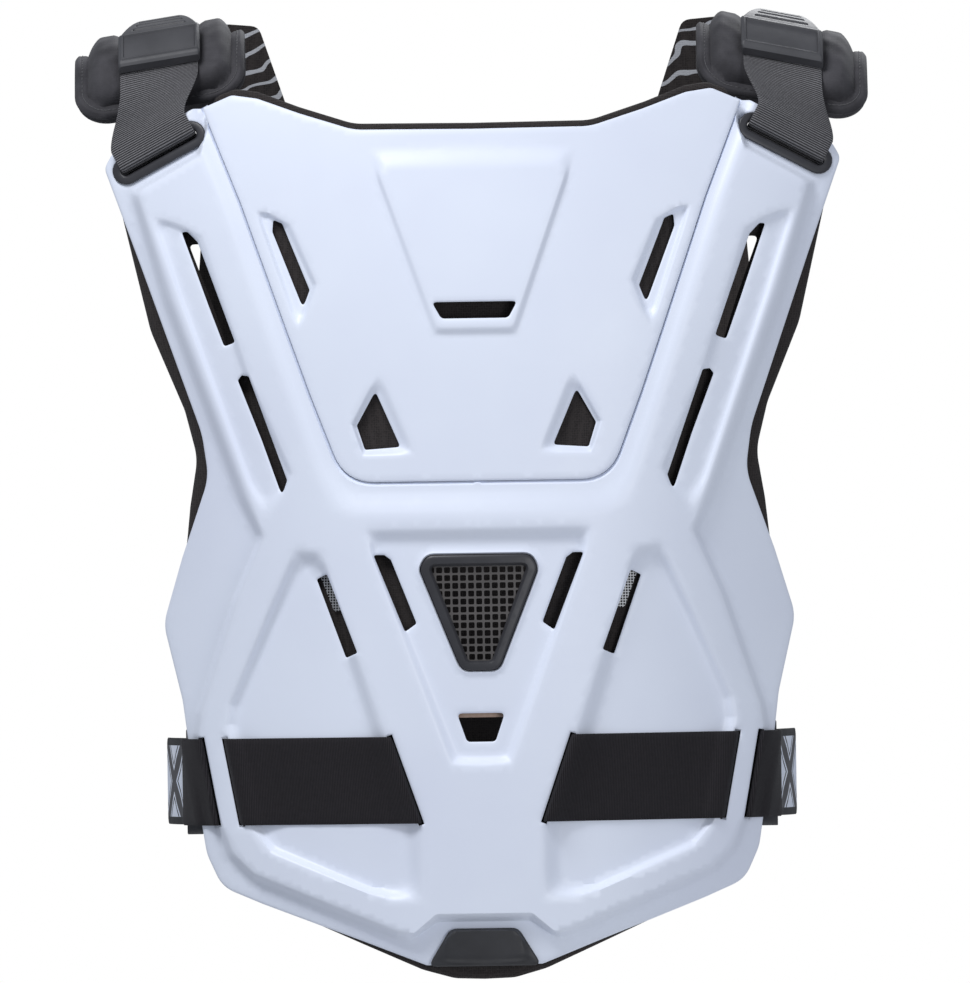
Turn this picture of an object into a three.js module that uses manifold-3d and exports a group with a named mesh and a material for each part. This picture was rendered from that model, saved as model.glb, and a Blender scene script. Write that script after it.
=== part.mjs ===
// Roost deflector: a chest and back guard that is worn over the shoulders. A moulded white front shell
// carries a separate chest plate, a foam liner, a framed mesh vent and a rubber badge. Shoulder straps run
// from rings in the front shell, over padded saddles, to rings in the back shell, and elastic bands run
// through slits in the front shell to buckles and side straps that reach the back shell.
// Millimetres, +Z up, the front faces -Y. The origin is midway between the undersides of the two shoulder
// pads, where the guard rests on the wearer.
import * as THREE from "three";
import { mergeVertices } from "three/addons/utils/BufferGeometryUtils.js";
import Module from "manifold-3d";

// Driving dimensions
const FRONT_WIDTH = 405; // over the top corners of the front shell
const FRONT_HEIGHT = 481; // from the chest plate's top corners to the bottom edge
const SHOULDER_DROP = 23; // from the shoulder seat down to the chest plate's top corners
const CHEST_REACH = 118; // from the shoulder line forward to the front of the chest
const CHEST_SWEEP = 110; // how far the front shell's widest edge lies behind its centre
const BACK_REACH = 106; // from the shoulder line back to the shoulder blades
const BACK_SWEEP = 32; // how far the back shell's edges lie ahead of its centre
const SHELL_WALL = 2.4;
const LINER_WALL = 6;
const LINER_GAP = 0.9; // between a shell's inner face and its liner
const SEAM_GAP = 0.7; // round the chest plate in its seat
const FIT_GAP = 0.35; // between pieces that touch
const BODY_RISE = 8; // raised body above the shell's outer flange
const SHELF_SINK = 3;
const SEAT_SINK = 4.2; // surround of the chest plate below the raised body
const LEDGE_SINK = 3.4; // ledge that carries the chest plate, below the surround
const LEDGE_WIDTH = 4;
const LEDGE_WALL = 0.8; // slope of the ledge's side wall
const LOWER_PANEL_SINK = 6;
const VEE_PANEL_SINK = 4.6;
const CHEST_PANEL_RISE = 2.6;
const SCOOP_SINK = 3.4;
const WEBBING_WIDTH = 43;
const WEBBING_THICKNESS = 1.8;
const RING_RADIUS = 6.9; // outer radius of a strap ring's round ends
const RING_BAR = 4.2;
const RING_DEPTH = 7;
const PAD_ACROSS = 312.5; // grid steps from the centreline to the middle of a shoulder pad
const PAD_WIDTH = 94;
const PAD_THICKNESS = 16;
const PAD_RADIUS = 62; // underside of the saddle that lies over the shoulder
const PAD_LEAN = (BACK_REACH - CHEST_REACH) / 2 + 10; // the saddle's middle behind the shoulder line
const KEEPER_WIDTH = 47;
const KEEPER_THICKNESS = 6.5;
const ELASTIC_THICKNESS = 1.6;
const SLIT_WIDTH = 3.2;
const BUCKLE_LENGTH = 46;
const BUCKLE_WIDTH = 58;
const BUCKLE_THICKNESS = 9;
const SIDE_STRAP_WIDTH = 48;
const VENT_FRAME_DEPTH = 7;
const VENT_MESH_THICKNESS = 1.2;
const VENT_MESH_PITCH = 4.6;
const VENT_MESH_BAR = 1.5;
const VENT_PROUD = 1.8; // frame above the floor of the V panel
const BADGE_THICKNESS = 4;
const SPINE_RISE = 4;
const WINDOW_MARGIN = 2.5; // liner's windows beyond the openings that they serve
const RING_PROUD = 2;
const EDGE_BEYOND_RING = 6.5; // webbing clears the shell's top edge before it leans to the pad
const PAD_REACH = (CHEST_REACH + BACK_REACH) / 2 - 62; // half the saddle's length, at its underside
const ELASTIC_WIDTH = 48;
const CLOTH_GAP = 0.75; // between a band and the faceted face that it lies on
const BUCKLE_ACROSS = 303; // grid steps from the centreline
const BUCKLE_BEHIND = 15; // from the flange's edge back to the buckle
const BACK_FLANGE = 289; // grid steps out to the back shell's edge where the side strap turns round it
const STRAP_TURN = 3;
const PAST_BAR = 14; // side strap straight behind the prong before it slants inwards
const STRAP_LAP = 12; // side strap on the back shell's flange

// The outlines are set out on a grid of steps: half the front's width is 368 steps across, and its height
// is 875 steps, counted up and down from the waist.
const GRID = { half: 368, height: 875, top: 401.5 };
const ACROSS = FRONT_WIDTH / 2 / GRID.half;
const UP = FRONT_HEIGHT / GRID.height;
const across = (steps) => steps * ACROSS;
const level = (steps) => (steps - GRID.top) * UP - SHOULDER_DROP;
const PAD_CENTRE = across(PAD_ACROSS);

// A table is a list of named columns and its rows of numbers.
const table = (columns, ...lines) =>
  lines.map((line) => Object.fromEntries(columns.split(" ").map((name, i) => [name, line[i]])));

const MESH_STEP = 30; // longest side of a face on the open part of a shell
const LINE_STEP = 30; // longest side of a face along an outline or a crease
const FOAM_STEP = 42; // the same on the liners
const ARCS = { none: 2.2, short: 9, shortSteps: 1, longSteps: 2 }; // radii with no arc and with a short one

// The chest's and the back's own curve, which every shell, liner and band follows
const CHEST = { crown: 120, above: 1.9e-6, below: 6.2e-7, power: 2.1 };
const BACK = { crown: 180, above: 4e-7, below: 3.3e-7, power: 2.1 };
const SWEEP_FALL = { from: -200, to: 402, share: 0.5 };
const stepsUp = (z) => (z + SHOULDER_DROP) / UP + GRID.top;
const crown = (form, up) => 1 - (up > form.crown ? form.above : form.below) * (up - form.crown) ** 2;

function chestAt(x, z) {
  const up = stepsUp(z);
  const part = THREE.MathUtils.smoothstep(up, SWEEP_FALL.from, SWEEP_FALL.to);
  const swept = CHEST_SWEEP * (1 - SWEEP_FALL.share * part);
  return -CHEST_REACH * crown(CHEST, up) + swept * (Math.abs(x) / (FRONT_WIDTH / 2)) ** CHEST.power;
}

function backAt(x, z) {
  return BACK_REACH * crown(BACK, stepsUp(z)) - BACK_SWEEP * (Math.abs(x) / (FRONT_WIDTH / 2)) ** BACK.power;
}

// Outline helpers. A corner with a round is replaced by an arc of that radius, in grid steps.
function rounded(corners, closed) {
  const points = [];
  corners.forEach((corner, i) => {
    const before = corners[(i + corners.length - 1) % corners.length];
    const after = corners[(i + 1) % corners.length];
    const isEnd = !closed && (i === 0 || i === corners.length - 1);
    if (corner.round * ACROSS < ARCS.none || isEnd) {
      points.push([corner.x, corner.z]);
      return;
    }
    const toBefore = new THREE.Vector2(before.x - corner.x, before.z - corner.z);
    const toAfter = new THREE.Vector2(after.x - corner.x, after.z - corner.z);
    const room = 0.48 * Math.min(toBefore.length(), toAfter.length());
    const angle = toBefore.angleTo(toAfter);
    const reach = Math.min((corner.round * ACROSS) / Math.tan(angle / 2), room);
    const start = toBefore.setLength(reach);
    const end = toAfter.setLength(reach);
    const steps = reach < ARCS.short ? ARCS.shortSteps : ARCS.longSteps;
    for (let s = 0; s <= steps; s++) {
      const t = s / steps;
      points.push([
        corner.x + start.x * (1 - t) ** 2 + end.x * t ** 2,
        corner.z + start.y * (1 - t) ** 2 + end.y * t ** 2,
      ]);
    }
  });
  return points;
}

const corners = (rows, a = "x", u = "z") =>
  rows.map((row) => ({ x: across(row[a]), z: level(row[u]), round: row.round || 0 }));

// Points no further apart than a step. Two lines that belong together are divided alike.
function divided(lines, closed, step = LINE_STEP) {
  const count = lines[0].length;
  const out = lines.map(() => []);
  for (let i = 0; i < (closed ? count : count - 1); i++) {
    const j = (i + 1) % count;
    const span = Math.max(...lines.map((l) => Math.hypot(l[j][0] - l[i][0], l[j][1] - l[i][1])));
    const parts = Math.max(1, Math.ceil(span / step));
    lines.forEach((l, n) => {
      for (let p = 0; p < parts; p++) {
        const t = p / parts;
        out[n].push([l[i][0] + (l[j][0] - l[i][0]) * t, l[i][1] + (l[j][1] - l[i][1]) * t]);
      }
    });
  }
  if (!closed) lines.forEach((l, n) => out[n].push(l[count - 1]));
  return out;
}

// A line drawn on half a shell, from centreline to centreline or closed on one side of it
const drawn = (rows, closed, step) => {
  const [points] = divided([rounded(corners(rows), closed)], closed, step);
  return { points, closed };
};

// A formed region: its rim lies on the surface around it, and its floor is where the full height is reached.
function formed(rows, closed = false) {
  const rim = rounded(corners(rows, "rimX", "rimZ"), closed);
  const floor = rounded(corners(rows, "floorX", "floorZ"), closed);
  const [a, b] = divided([rim, floor], closed);
  return { rim: { points: a, closed }, floor: { points: b, closed } };
}

function inside([x, z], points) {
  let within = false;
  for (let i = 0, j = points.length - 1; i < points.length; j = i++) {
    const [xi, zi] = points[i];
    const [xj, zj] = points[j];
    if (zi > z !== zj > z && x < ((xj - xi) * (z - zi)) / (zj - zi) + xi) within = !within;
  }
  return within;
}

function distance([x, z], { points, closed }) {
  let best = Infinity;
  for (let i = 0; i < (closed ? points.length : points.length - 1); i++) {
    const [ax, az] = points[i];
    const [bx, bz] = points[(i + 1) % points.length];
    const [dx, dz] = [bx - ax, bz - az];
    const t = THREE.MathUtils.clamp(((x - ax) * dx + (z - az) * dz) / (dx * dx + dz * dz || 1), 0, 1);
    best = Math.min(best, Math.hypot(x - ax - t * dx, z - az - t * dz));
  }
  return best;
}

// How far a formed region has come to its full height at a point: 0 outside its rim, 1 on its floor
function share(region, x, z) {
  const point = [Math.abs(x), z];
  const toRim = distance(point, region.rim);
  const toFloor = distance(point, region.floor);
  if (toFloor < 1e-3) return 1;
  if (toRim < 1e-3) return 0;
  if (inside(point, region.floor.points)) return 1;
  if (!inside(point, region.rim.points)) return 0;
  return toRim / (toRim + toFloor);
}

// Delaunay triangles of points in the plane: they are added from left to right, and a face whose circle
// lies wholly to the left is finished.
function triangles(points) {
  const far = 5000;
  const all = [...points, [-far, -far], [far, -far], [0, far]];
  const n = points.length;
  const made = (a, b, c) => {
    const [ax, ay] = all[a];
    const [bx, by] = [all[b][0] - ax, all[b][1] - ay];
    const [cx, cy] = [all[c][0] - ax, all[c][1] - ay];
    const d = 2 * (bx * cy - by * cx);
    const ux = (cy * (bx * bx + by * by) - by * (cx * cx + cy * cy)) / d;
    const uy = (bx * (cx * cx + cy * cy) - cx * (bx * bx + by * by)) / d;
    const square = ux * ux + uy * uy;
    return { v: [a, b, c], x: ax + ux, y: ay + uy, square, right: ax + ux + Math.sqrt(square) };
  };
  const done = [];
  let faces = [made(n, n + 1, n + 2)];
  const order = points.map((_, i) => i).sort((i, j) => points[i][0] - points[j][0]);
  for (const i of order) {
    const [x, y] = points[i];
    const kept = [];
    const sides = new Map();
    for (const f of faces) {
      if (f.right < x - 1e-6) {
        done.push(f);
        continue;
      }
      if ((f.x - x) ** 2 + (f.y - y) ** 2 >= f.square * (1 + 1e-12)) {
        kept.push(f);
        continue;
      }
      for (let s = 0; s < 3; s++) {
        const [a, b] = [f.v[s], f.v[(s + 1) % 3]];
        if (!sides.delete(b + "," + a)) sides.set(a + "," + b, [a, b]);
      }
    }
    for (const [a, b] of sides.values()) kept.push(made(a, b, i));
    faces = kept;
  }
  return [...done, ...faces].map((f) => f.v).filter((v) => v.every((k) => k < n));
}

const sideKey = (a, b) => Math.min(a, b) + "," + Math.max(a, b);

// A sheet laid out flat on one side of the centreline, mirrored, and given an outer and an inner face.
// edge runs from the top of the centreline to its bottom; holes are cut out; faces keep to the folds.
function sheet({ edge, holes = [], folds = [], outer, inner, step = MESH_STEP }) {
  const points = [];
  const found = new Map();
  const point = ([x, z]) => {
    const key = Math.round(x * 500) + "," + Math.round(z * 500);
    if (!found.has(key)) {
      found.set(key, points.length);
      points.push([Math.abs(x) < 1e-3 ? 0 : x, z]);
    }
    return found.get(key);
  };
  let sides = [];
  for (const { points: line, closed } of [edge, ...holes, ...folds])
    for (let i = 0; i < (closed ? line.length : line.length - 1); i++)
      sides.push([point(line[i]), point(line[(i + 1) % line.length])]);
  sides = crossed(sides, points, point);
  const reach = edge.points.map((p) => p[1]);
  const [bottom, top] = [Math.min(reach[0], reach.at(-1)), Math.max(reach[0], reach.at(-1))];
  const isMiddle = ([x, z]) => x === 0 && z >= bottom && z <= top;
  const middle = points.map((p, i) => [p[1], i]).filter(([, i]) => isMiddle(points[i]));
  middle.sort((a, b) => a[0] - b[0]);
  for (let i = 0; i + 1 < middle.length; i++) {
    const parts = Math.ceil((middle[i + 1][0] - middle[i][0]) / step);
    let last = middle[i][1];
    for (let p = 1; p < parts; p++) {
      const next = point([0, middle[i][0] + ((middle[i + 1][0] - middle[i][0]) * p) / parts]);
      sides.push([last, next]);
      last = next;
    }
    sides.push([last, middle[i + 1][1]]);
  }
  const wide = Math.max(...edge.points.map((p) => p[0]));
  const high = Math.max(...reach);
  const isClear = (p) => points.every((q) => Math.hypot(q[0] - p[0], q[1] - p[1]) > 0.5 * step);
  for (let row = 0, z = Math.min(...reach); z < high; row++, z += step * 0.87)
    for (let x = (row % 2 ? 0.5 : 1) * step; x < wide; x += step)
      if (inside([x, z], edge.points) && isClear([x, z])) point([x, z]);
  let faces = triangles(points);
  for (let round = 0; round < 8; round++) {
    const has = new Set(faces.flatMap(([a, b, c]) => [sideKey(a, b), sideKey(b, c), sideKey(c, a)]));
    let isWhole = true;
    sides = sides.flatMap(([a, b]) => {
      const long = Math.hypot(points[a][0] - points[b][0], points[a][1] - points[b][1]);
      if (a === b || long < 0.8 || has.has(sideKey(a, b))) return [[a, b]];
      isWhole = false;
      const mid = point([(points[a][0] + points[b][0]) / 2, (points[a][1] + points[b][1]) / 2]);
      return [[a, mid], [mid, b]];
    });
    if (isWhole) break;
    faces = triangles(points);
  }
  faces = faces.filter((f) => {
    const centre = [0, 1].map((k) => (points[f[0]][k] + points[f[1]][k] + points[f[2]][k]) / 3);
    return inside(centre, edge.points) && !holes.some((h) => inside(centre, h.points));
  });
  return walled(points, faces, outer, inner);
}

// Sides that cross each other are both divided where they cross.
function crossed(sides, points, point) {
  const cuts = sides.map(() => []);
  for (let i = 0; i < sides.length; i++)
    for (let j = i + 1; j < sides.length; j++) {
      const [[ax, ay], [bx, by]] = sides[i].map((k) => points[k]);
      const [[cx, cy], [dx, dy]] = sides[j].map((k) => points[k]);
      const d = (bx - ax) * (dy - cy) - (by - ay) * (dx - cx);
      if (Math.abs(d) < 1e-9) continue;
      const s = ((cx - ax) * (dy - cy) - (cy - ay) * (dx - cx)) / d;
      const t = ((cx - ax) * (by - ay) - (cy - ay) * (bx - ax)) / d;
      if (s < 1e-6 || s > 1 - 1e-6 || t < 1e-6 || t > 1 - 1e-6) continue;
      const hit = point([ax + (bx - ax) * s, ay + (by - ay) * s]);
      cuts[i].push([s, hit]);
      cuts[j].push([t, hit]);
    }
  return sides.flatMap(([a, b], i) => {
    const chain = [a, ...cuts[i].sort((p, q) => p[0] - q[0]).map((c) => c[1]), b];
    return chain.slice(1).map((k, n) => [chain[n], k]);
  });
}

// The half sheet and its mirror image, with an outer face, an inner face and a wall along every open side
function walled(points, faces, outer, inner) {
  const used = [...new Set(faces.flat())];
  const number = new Map(used.map((k, i) => [k, i]));
  const plan = used.map((k) => points[k]);
  const mirror = plan.map(([x, z], i) => (x === 0 ? i : plan.push([-x, z]) - 1));
  const half = faces.map((f) => f.map((k) => number.get(k)));
  const whole = [...half, ...half.map(([a, b, c]) => [mirror[a], mirror[c], mirror[b]])].map(([a, b, c]) => {
    const [[ax, az], [bx, bz], [cx, cz]] = [plan[a], plan[b], plan[c]];
    return (bx - ax) * (cz - az) - (bz - az) * (cx - ax) > 0 ? [a, b, c] : [a, c, b];
  });
  const n = plan.length;
  const position = [outer, inner].flatMap((face) => plan.flatMap(([x, z]) => [x, face(x, z), z]));
  const open = new Map();
  for (const f of whole)
    for (let s = 0; s < 3; s++) {
      const [a, b] = [f[s], f[(s + 1) % 3]];
      if (!open.delete(b + "," + a)) open.set(a + "," + b, [a, b]);
    }
  const index = whole.flatMap(([a, b, c]) => [a, b, c, a + n, c + n, b + n]);
  for (const [a, b] of open.values()) index.push(b, a, a + n, b, a + n, b + n);
  return closedBody(position, index);
}

// A geometry whose faces point out, whichever way round they were listed
function closedBody(position, index) {
  const geometry = new THREE.BufferGeometry();
  geometry.setAttribute("position", new THREE.Float32BufferAttribute(position, 3));
  let volume = 0;
  const corner = (k) => new THREE.Vector3().fromArray(position, 3 * k);
  for (let i = 0; i < index.length; i += 3)
    volume += corner(index[i]).dot(corner(index[i + 1]).cross(corner(index[i + 2])));
  const turned = volume < 0 ? index.map((_, i) => index[i - (i % 3) + ((3 - (i % 3)) % 3)]) : index;
  geometry.setIndex(turned);
  const merged = mergeVertices(geometry, 1e-4);
  merged.computeVertexNormals();
  return merged;
}

// A body that runs through rings of points, closed round or with a fan at each end
function loft(rings, isLoop = false) {
  const n = rings[0].length;
  const count = rings.length;
  const index = [];
  const flat = rings.flat();
  const apart = (p, q) => Math.hypot(...flat[p].map((v, k) => v - flat[q][k]));
  for (let i = 0; i < (isLoop ? count : count - 1); i++)
    for (let j = 0; j < n; j++) {
      const [a, b] = [i * n + j, i * n + ((j + 1) % n)];
      const [c, d] = [((i + 1) % count) * n + j, ((i + 1) % count) * n + ((j + 1) % n)];
      if (apart(a, d) <= apart(b, c)) index.push(a, b, d, a, d, c);
      else index.push(a, b, c, b, d, c);
    }
  if (!isLoop)
    for (let j = 1; j < n - 1; j++) {
      index.push(0, j + 1, j);
      const last = (count - 1) * n;
      index.push(last, last + j, last + j + 1);
    }
  return closedBody(rings.flat(2), index);
}

// A flat band through pairs of edge points, with half its thickness on each side of them
function band(pairs, thickness) {
  const rings = pairs.map(([a, b], i) => {
    const [pa, pb] = pairs[Math.max(i - 1, 0)];
    const [na, nb] = pairs[Math.min(i + 1, pairs.length - 1)];
    const before = mid(a, b).sub(mid(pa, pb)).normalize();
    const after = mid(na, nb).sub(mid(a, b)).normalize();
    const bend = i && i < pairs.length - 1 ? Math.sqrt((1 + before.dot(after)) / 2) : 1;
    const along = before.add(after).normalize();
    const width = new THREE.Vector3(...b).sub(new THREE.Vector3(...a));
    const out = along.cross(width).normalize();
    out.multiplyScalar(thickness / 2 / Math.max(bend, 0.6));
    const at = (p, s) => new THREE.Vector3(...p).addScaledVector(out, s).toArray();
    return [at(a, 1), at(b, 1), at(b, -1), at(a, -1)];
  });
  return loft(rings);
}

const mid = (a, b) => new THREE.Vector3(...a).add(new THREE.Vector3(...b)).multiplyScalar(0.5);

const group = new THREE.Group();
const LOOKS = {
  shell: new THREE.MeshStandardMaterial({ color: 0xe9eef8, roughness: 0.42, metalness: 0 }),
  foam: new THREE.MeshStandardMaterial({ color: 0x18181b, roughness: 0.95, metalness: 0 }),
  trim: new THREE.MeshStandardMaterial({ color: 0x2a2a2e, roughness: 0.5, metalness: 0 }),
  rubber: new THREE.MeshStandardMaterial({ color: 0x36363a, roughness: 0.7, metalness: 0 }),
  webbing: new THREE.MeshStandardMaterial({ color: 0x2c2c2f, roughness: 0.85, metalness: 0 }),
  elastic: new THREE.MeshStandardMaterial({ color: 0x1c1a1d, roughness: 0.9, metalness: 0 }),
  patterned: new THREE.MeshStandardMaterial({ color: 0x8c94a8, roughness: 0.8, metalness: 0 }),
  padding: new THREE.MeshStandardMaterial({ color: 0x333338, roughness: 0.9, metalness: 0 }),
};

function add(name, geometry, look) {
  const mesh = new THREE.Mesh(geometry, LOOKS[look]);
  mesh.name = name;
  group.add(mesh);
}

const SIDES = { left: -1, right: 1 };

// Front shell
const SHELL_EDGE = table("x z round",
  [271, 388, 0], [279, 388, 6], [361, 344, 12],
  [369, 330, 12], [334, 232, 80], [275, 62, 110], [269, 18, 60], [297, -62, 60], [317, -128, 46],
  [299, -205, 90], [292, -262, 60], [277, -360, 50], [262, -393, 34], [222, -410, 60], [120, -449, 30],
  [58, -473.5, 6], [0, -473.5, 0]);
const BODY = table("rimX rimZ floorX floorZ round",
  [0, 440, 0, 430, 0], [268, 440, 264, 430, 6], [268, 372, 264, 366, 6], [276, 346, 272, 338, 8],
  [347, 308, 333, 303, 9], [317, 196, 299, 196, 90], [243, -5, 227, -5, 60], [223, -44, 212, -42, 12],
  [250, -106, 240, -104, 40], [288, -218, 278, -218, 30], [291, -240, 281, -240, 16],
  [268, -333, 259, -332, 40], [259, -364, 248, -358, 22], [234, -388, 228, -378, 18],
  [89, -448, 86, -437, 6], [75, -450, 70, -440, 6],
  [46, -431, 48, -421, 8], [0, -431, 0, -421, 0]);
const SHELF = table("rimX rimZ floorX floorZ round",
  [327, 286, 312, 271, 4], [289, 273, 290, 261, 6], [269, 262, 279, 252, 6], [226, 125, 236, 124, 30],
  [182, 20, 192, 22, 8], [189, 2, 198, 8, 6], [213, -40, 212, 0, 4], [226, -6, 222, 10, 30],
  [297, 196, 288, 194, 60]);
const SEAT = table("rimX rimZ floorX floorZ round",
  [0, 392, 0, 370, 0], [120, 396, 120, 371, 30], [214, 424, 212, 404, 30], [276, 424, 246, 407, 6],
  [291, 389, 271, 389, 4], [254, 291, 233, 291, 30], [211, 158, 188, 160, 60], [189, 92, 166, 97, 60],
  [149, -29.5, 133, 9.7, 45], [0, -29.5, 0, 9.7, 0]);
const LOWER_PANEL = table("rimX rimZ floorX floorZ round",
  [155, -55, 160, -76, 14], [186, -50, 178, -74, 14], [215, -117, 203, -124, 30], [256, -208, 240, -212, 20],
  [259, -230, 242, -231, 14], [238, -332, 221, -331, 30], [214, -361, 206, -351, 16],
  [93, -411, 112, -393, 10], [57, -414, 80, -394, 12], [56, -335, 80, -334, 8],
  [92, -241, 115, -237, 30], [128, -140, 143, -140, 30]);
const VEE_PANEL = table("rimX rimZ floorX floorZ round",
  [0, -42, 0, -50, 0], [115, -42, 103, -50, 6], [33, -275, 22, -262, 6], [0, -277, 0, -262, 0]);
const SHELL_SLOTS = {
  side_upper: table("x z round",
    [292, 264.5, 2], [286, 264.5, 3], [276, 254, 3], [240, 153, 3], [251, 149, 3], [266, 190, 20]),
  side_lower: table("x z round",
    [238, 115, 3], [234, 120, 2], [227, 119, 3], [190, 14, 4], [195.5, -1.5, 3], [215, 55, 20]),
  panel: table("x z round", [162, -85.4, 2], [151.8, -80.3, 2], [122.5, -159.5, 2], [133.8, -164.5, 2]),
  vee: table("x z round", [105, -62, 2], [94, -62, 3], [87.5, -67, 3], [62.8, -131, 3], [74.5, -139.3, 2]),
};
const VENT_EDGE = table("x z round",
  [0, -63.3, 0], [50, -63.3, 7], [58.5, -77, 7], [18.5, -178.6, 8], [0, -178.6, 0]);
const VENT_OPENING = table("x z round", [0, -74.3, 0], [48.4, -74.3, 4], [11.7, -169, 4], [0, -169, 0]);
const LOW_SLOT = table("x z round", [0, -221.5, 0], [24, -221.5, 4], [14.2, -250.2, 5], [0, -250.2, 0]);
// Slits that the elastic passes through: the band's top and bottom edge at each
const ELASTIC_TOP = -244;
const ELASTIC_BOTTOM = -331;
const ELASTIC_SLITS = table("topX bottomX", [91.5, 61.5], [257, 241], [280.5, 265]);
const SLIT_OVERRUN = 4;
const PLATE_EDGE = table("x z round",
  [0, 364, 0], [118, 365, 60], [171, 382, 30], [214, 398, 30], [240, 402, 12], [271, 389, 4],
  [233, 291, 30], [188, 160, 60], [166, 97, 60], [133, 9.7, 45], [0, 9.7, 0]);
const PLATE_NECK_ROWS = 5; // rows of the plate's edge that lie above its seat
const CHEST_PANEL = table("rimX rimZ floorX floorZ round",
  [0, 350, 0, 322, 0], [108, 346, 93, 322, 8], [43, 155, 36, 166, 6], [0, 155, 0, 166, 0]);
const SCOOP = table("rimX rimZ floorX floorZ round",
  [222, 289, 210, 280, 3], [196, 280, 199, 271, 6], [181, 272, 188, 263, 6], [155, 209, 163, 208, 8],
  [174, 160, 173, 180, 3], [183, 172, 177, 184, 3], [217, 275, 206, 266, 3]);
const DIAMOND = table("rimX rimZ floorX floorZ round",
  [96, 128, 100.4, 102, 3], [127, 69, 119.5, 67.7, 3], [115, 36, 111.8, 43.3, 3], [58, 36, 76.2, 45.7, 3]);
const PLATE_SLOTS = {
  scoop: table("x z round", [200, 275, 2], [191, 271, 4], [164.5, 204, 4], [171.5, 186, 3], [201, 263, 6]),
};
const PANEL_SLOT = table("x z round", [0, 189.8, 0], [42.7, 189.8, 3], [33.5, 173.2, 6], [0, 173.2, 0]);
const LINER_EDGE = table("x z round",
  [0, 369, 0], [118, 370, 60], [173, 388, 30], [214, 404, 30], [236, 407, 12], [258, 399, 10], [256, 340, 12],
  [300, 316, 12], [354, 292, 10], [325, 166, 80], [292, 86, 60], [280, 38, 60], [288, -10, 60],
  [300, -120, 40], [290, -215, 10], [254, -236, 10], [238, -342, 20], [228, -376, 20], [189, -421, 40],
  [118, -460, 30], [58, -480, 20], [0, -488, 0]);
const SIDE_WINDOW = table("x z round",
  [299, 274, 4], [281, 270, 6], [233, 150, 4], [256, 141, 6], [274, 190, 20]);
const BADGE_EDGE = table("x z round", [0, -437, 0], [33, -437, 8], [57, -475, 5], [0, -475, 0]);
// Back shell and liner, on the same grid
const BACK_EDGE = table("x z round",
  [0, 318, 0], [95, 322, 50], [190, 366, 40], [262, 366, 12], [352, 318, 14], [346, 274, 12], [286, 302, 10],
  [272, 264, 20], [276, 214, 20], [290, 176, 30], [276, 100, 60], [252, 40, 60], [252, -60, 70],
  [290, -170, 50], [286, -340, 40], [196, -396, 60], [0, -415, 0]);
const BACK_BODY = table("rimX rimZ floorX floorZ round",
  [0, 296, 0, 284, 0], [104, 300, 108, 288, 40], [182, 334, 186, 320, 30], [250, 318, 238, 304, 12],
  [248, 196, 236, 196, 60], [226, 40, 212, 40, 80], [226, -62, 212, -62, 60], [262, -170, 248, -170, 40],
  [256, -322, 242, -316, 30], [186, -372, 180, -358, 40], [0, -388, 0, -374, 0]);
const SPINE = table("rimX rimZ floorX floorZ round",
  [0, 262, 0, 246, 0], [66, 258, 54, 244, 12], [40, 60, 28, 60, 40], [40, -40, 28, -40, 40],
  [62, -310, 50, -298, 12], [0, -322, 0, -306, 0]);
const BACK_SLOTS = {
  blade: table("x z round", [222, 240, 4], [202, 248, 4], [146, 92, 4], [162, 84, 4]),
  flank: table("x z round", [176, -104, 4], [160, -98, 4], [176, -250, 4], [198, -244, 4]),
};
const BACK_LINER_EDGE = table("x z round",
  [0, 328, 0], [110, 334, 50], [180, 372, 24], [214, 474, 12], [262, 478, 10], [254, 372, 30],
  [246, 320, 30], [262, 262, 30], [268, 214, 20], [282, 172, 30], [268, 100, 60], [262, 38, 60],
  [262, -62, 70], [300, -172, 50], [250, -236, 10], [244, -338, 20], [190, -404, 60], [0, -426, 0]);
const BACK_RING_ENDS = table("x z", [342, 300], [276, 334]);
const RING_ENDS = table("x z", [347, 327], [280.5, 362]);

// A stadium round the line between the ring's two end centres, in millimetres
function stadium(radius, ends = RING_ENDS, steps = 6) {
  const [a, b] = ends.map((row) => new THREE.Vector2(across(row.x), level(row.z)));
  const angle = Math.atan2(b.y - a.y, b.x - a.x);
  const points = [];
  for (const [centre, start] of [[b, angle - Math.PI / 2], [a, angle + Math.PI / 2]])
    for (let s = 0; s <= steps; s++) {
      const turn = start + (Math.PI * s) / steps;
      points.push([centre.x + radius * Math.cos(turn), centre.y + radius * Math.sin(turn)]);
    }
  return points;
}

// The slanted slit at one crossing of the elastic, a little longer than the band is wide
function slit({ topX, bottomX }) {
  const top = new THREE.Vector2(across(topX), level(ELASTIC_TOP));
  const bottom = new THREE.Vector2(across(bottomX), level(ELASTIC_BOTTOM));
  const along = top.clone().sub(bottom).normalize();
  const over = across(SLIT_OVERRUN);
  const aside = new THREE.Vector2(-along.y, along.x).multiplyScalar(SLIT_WIDTH / 2);
  const [high, low] = [top.addScaledVector(along, over), bottom.addScaledVector(along, -over)];
  const at = (p, s) => [p.x + s * aside.x, p.y + s * aside.y];
  return divided([[at(high, -1), at(high, 1), at(low, 1), at(low, -1)]], true)[0];
}

const region = {
  body: formed(BODY),
  shelf: formed(SHELF, true),
  seat: formed(SEAT),
  lower: formed(LOWER_PANEL, true),
  vee: formed(VEE_PANEL),
};
const seam = region.seat.floor;

// A line moved sideways by a distance, to the right of its own direction when that is positive
function moved(points, by) {
  const line = { points, closed: false };
  const sideways = ([ax, az], [bx, bz]) => new THREE.Vector2(bz - az, ax - bx).normalize();
  const shifted = points.map((p, i) => {
    const before = i ? sideways(points[i - 1], p) : sideways(p, points[1]);
    const after = i + 1 < points.length ? sideways(p, points[i + 1]) : before;
    const out = before.clone().add(after).multiplyScalar(by / (1 + before.dot(after)));
    return [p[0] === 0 ? 0 : p[0] + out.x, p[1] + out.y];
  });
  return shifted.filter((p) => p[0] === 0 || distance(p, line) > 0.8 * Math.abs(by));
}

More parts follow.
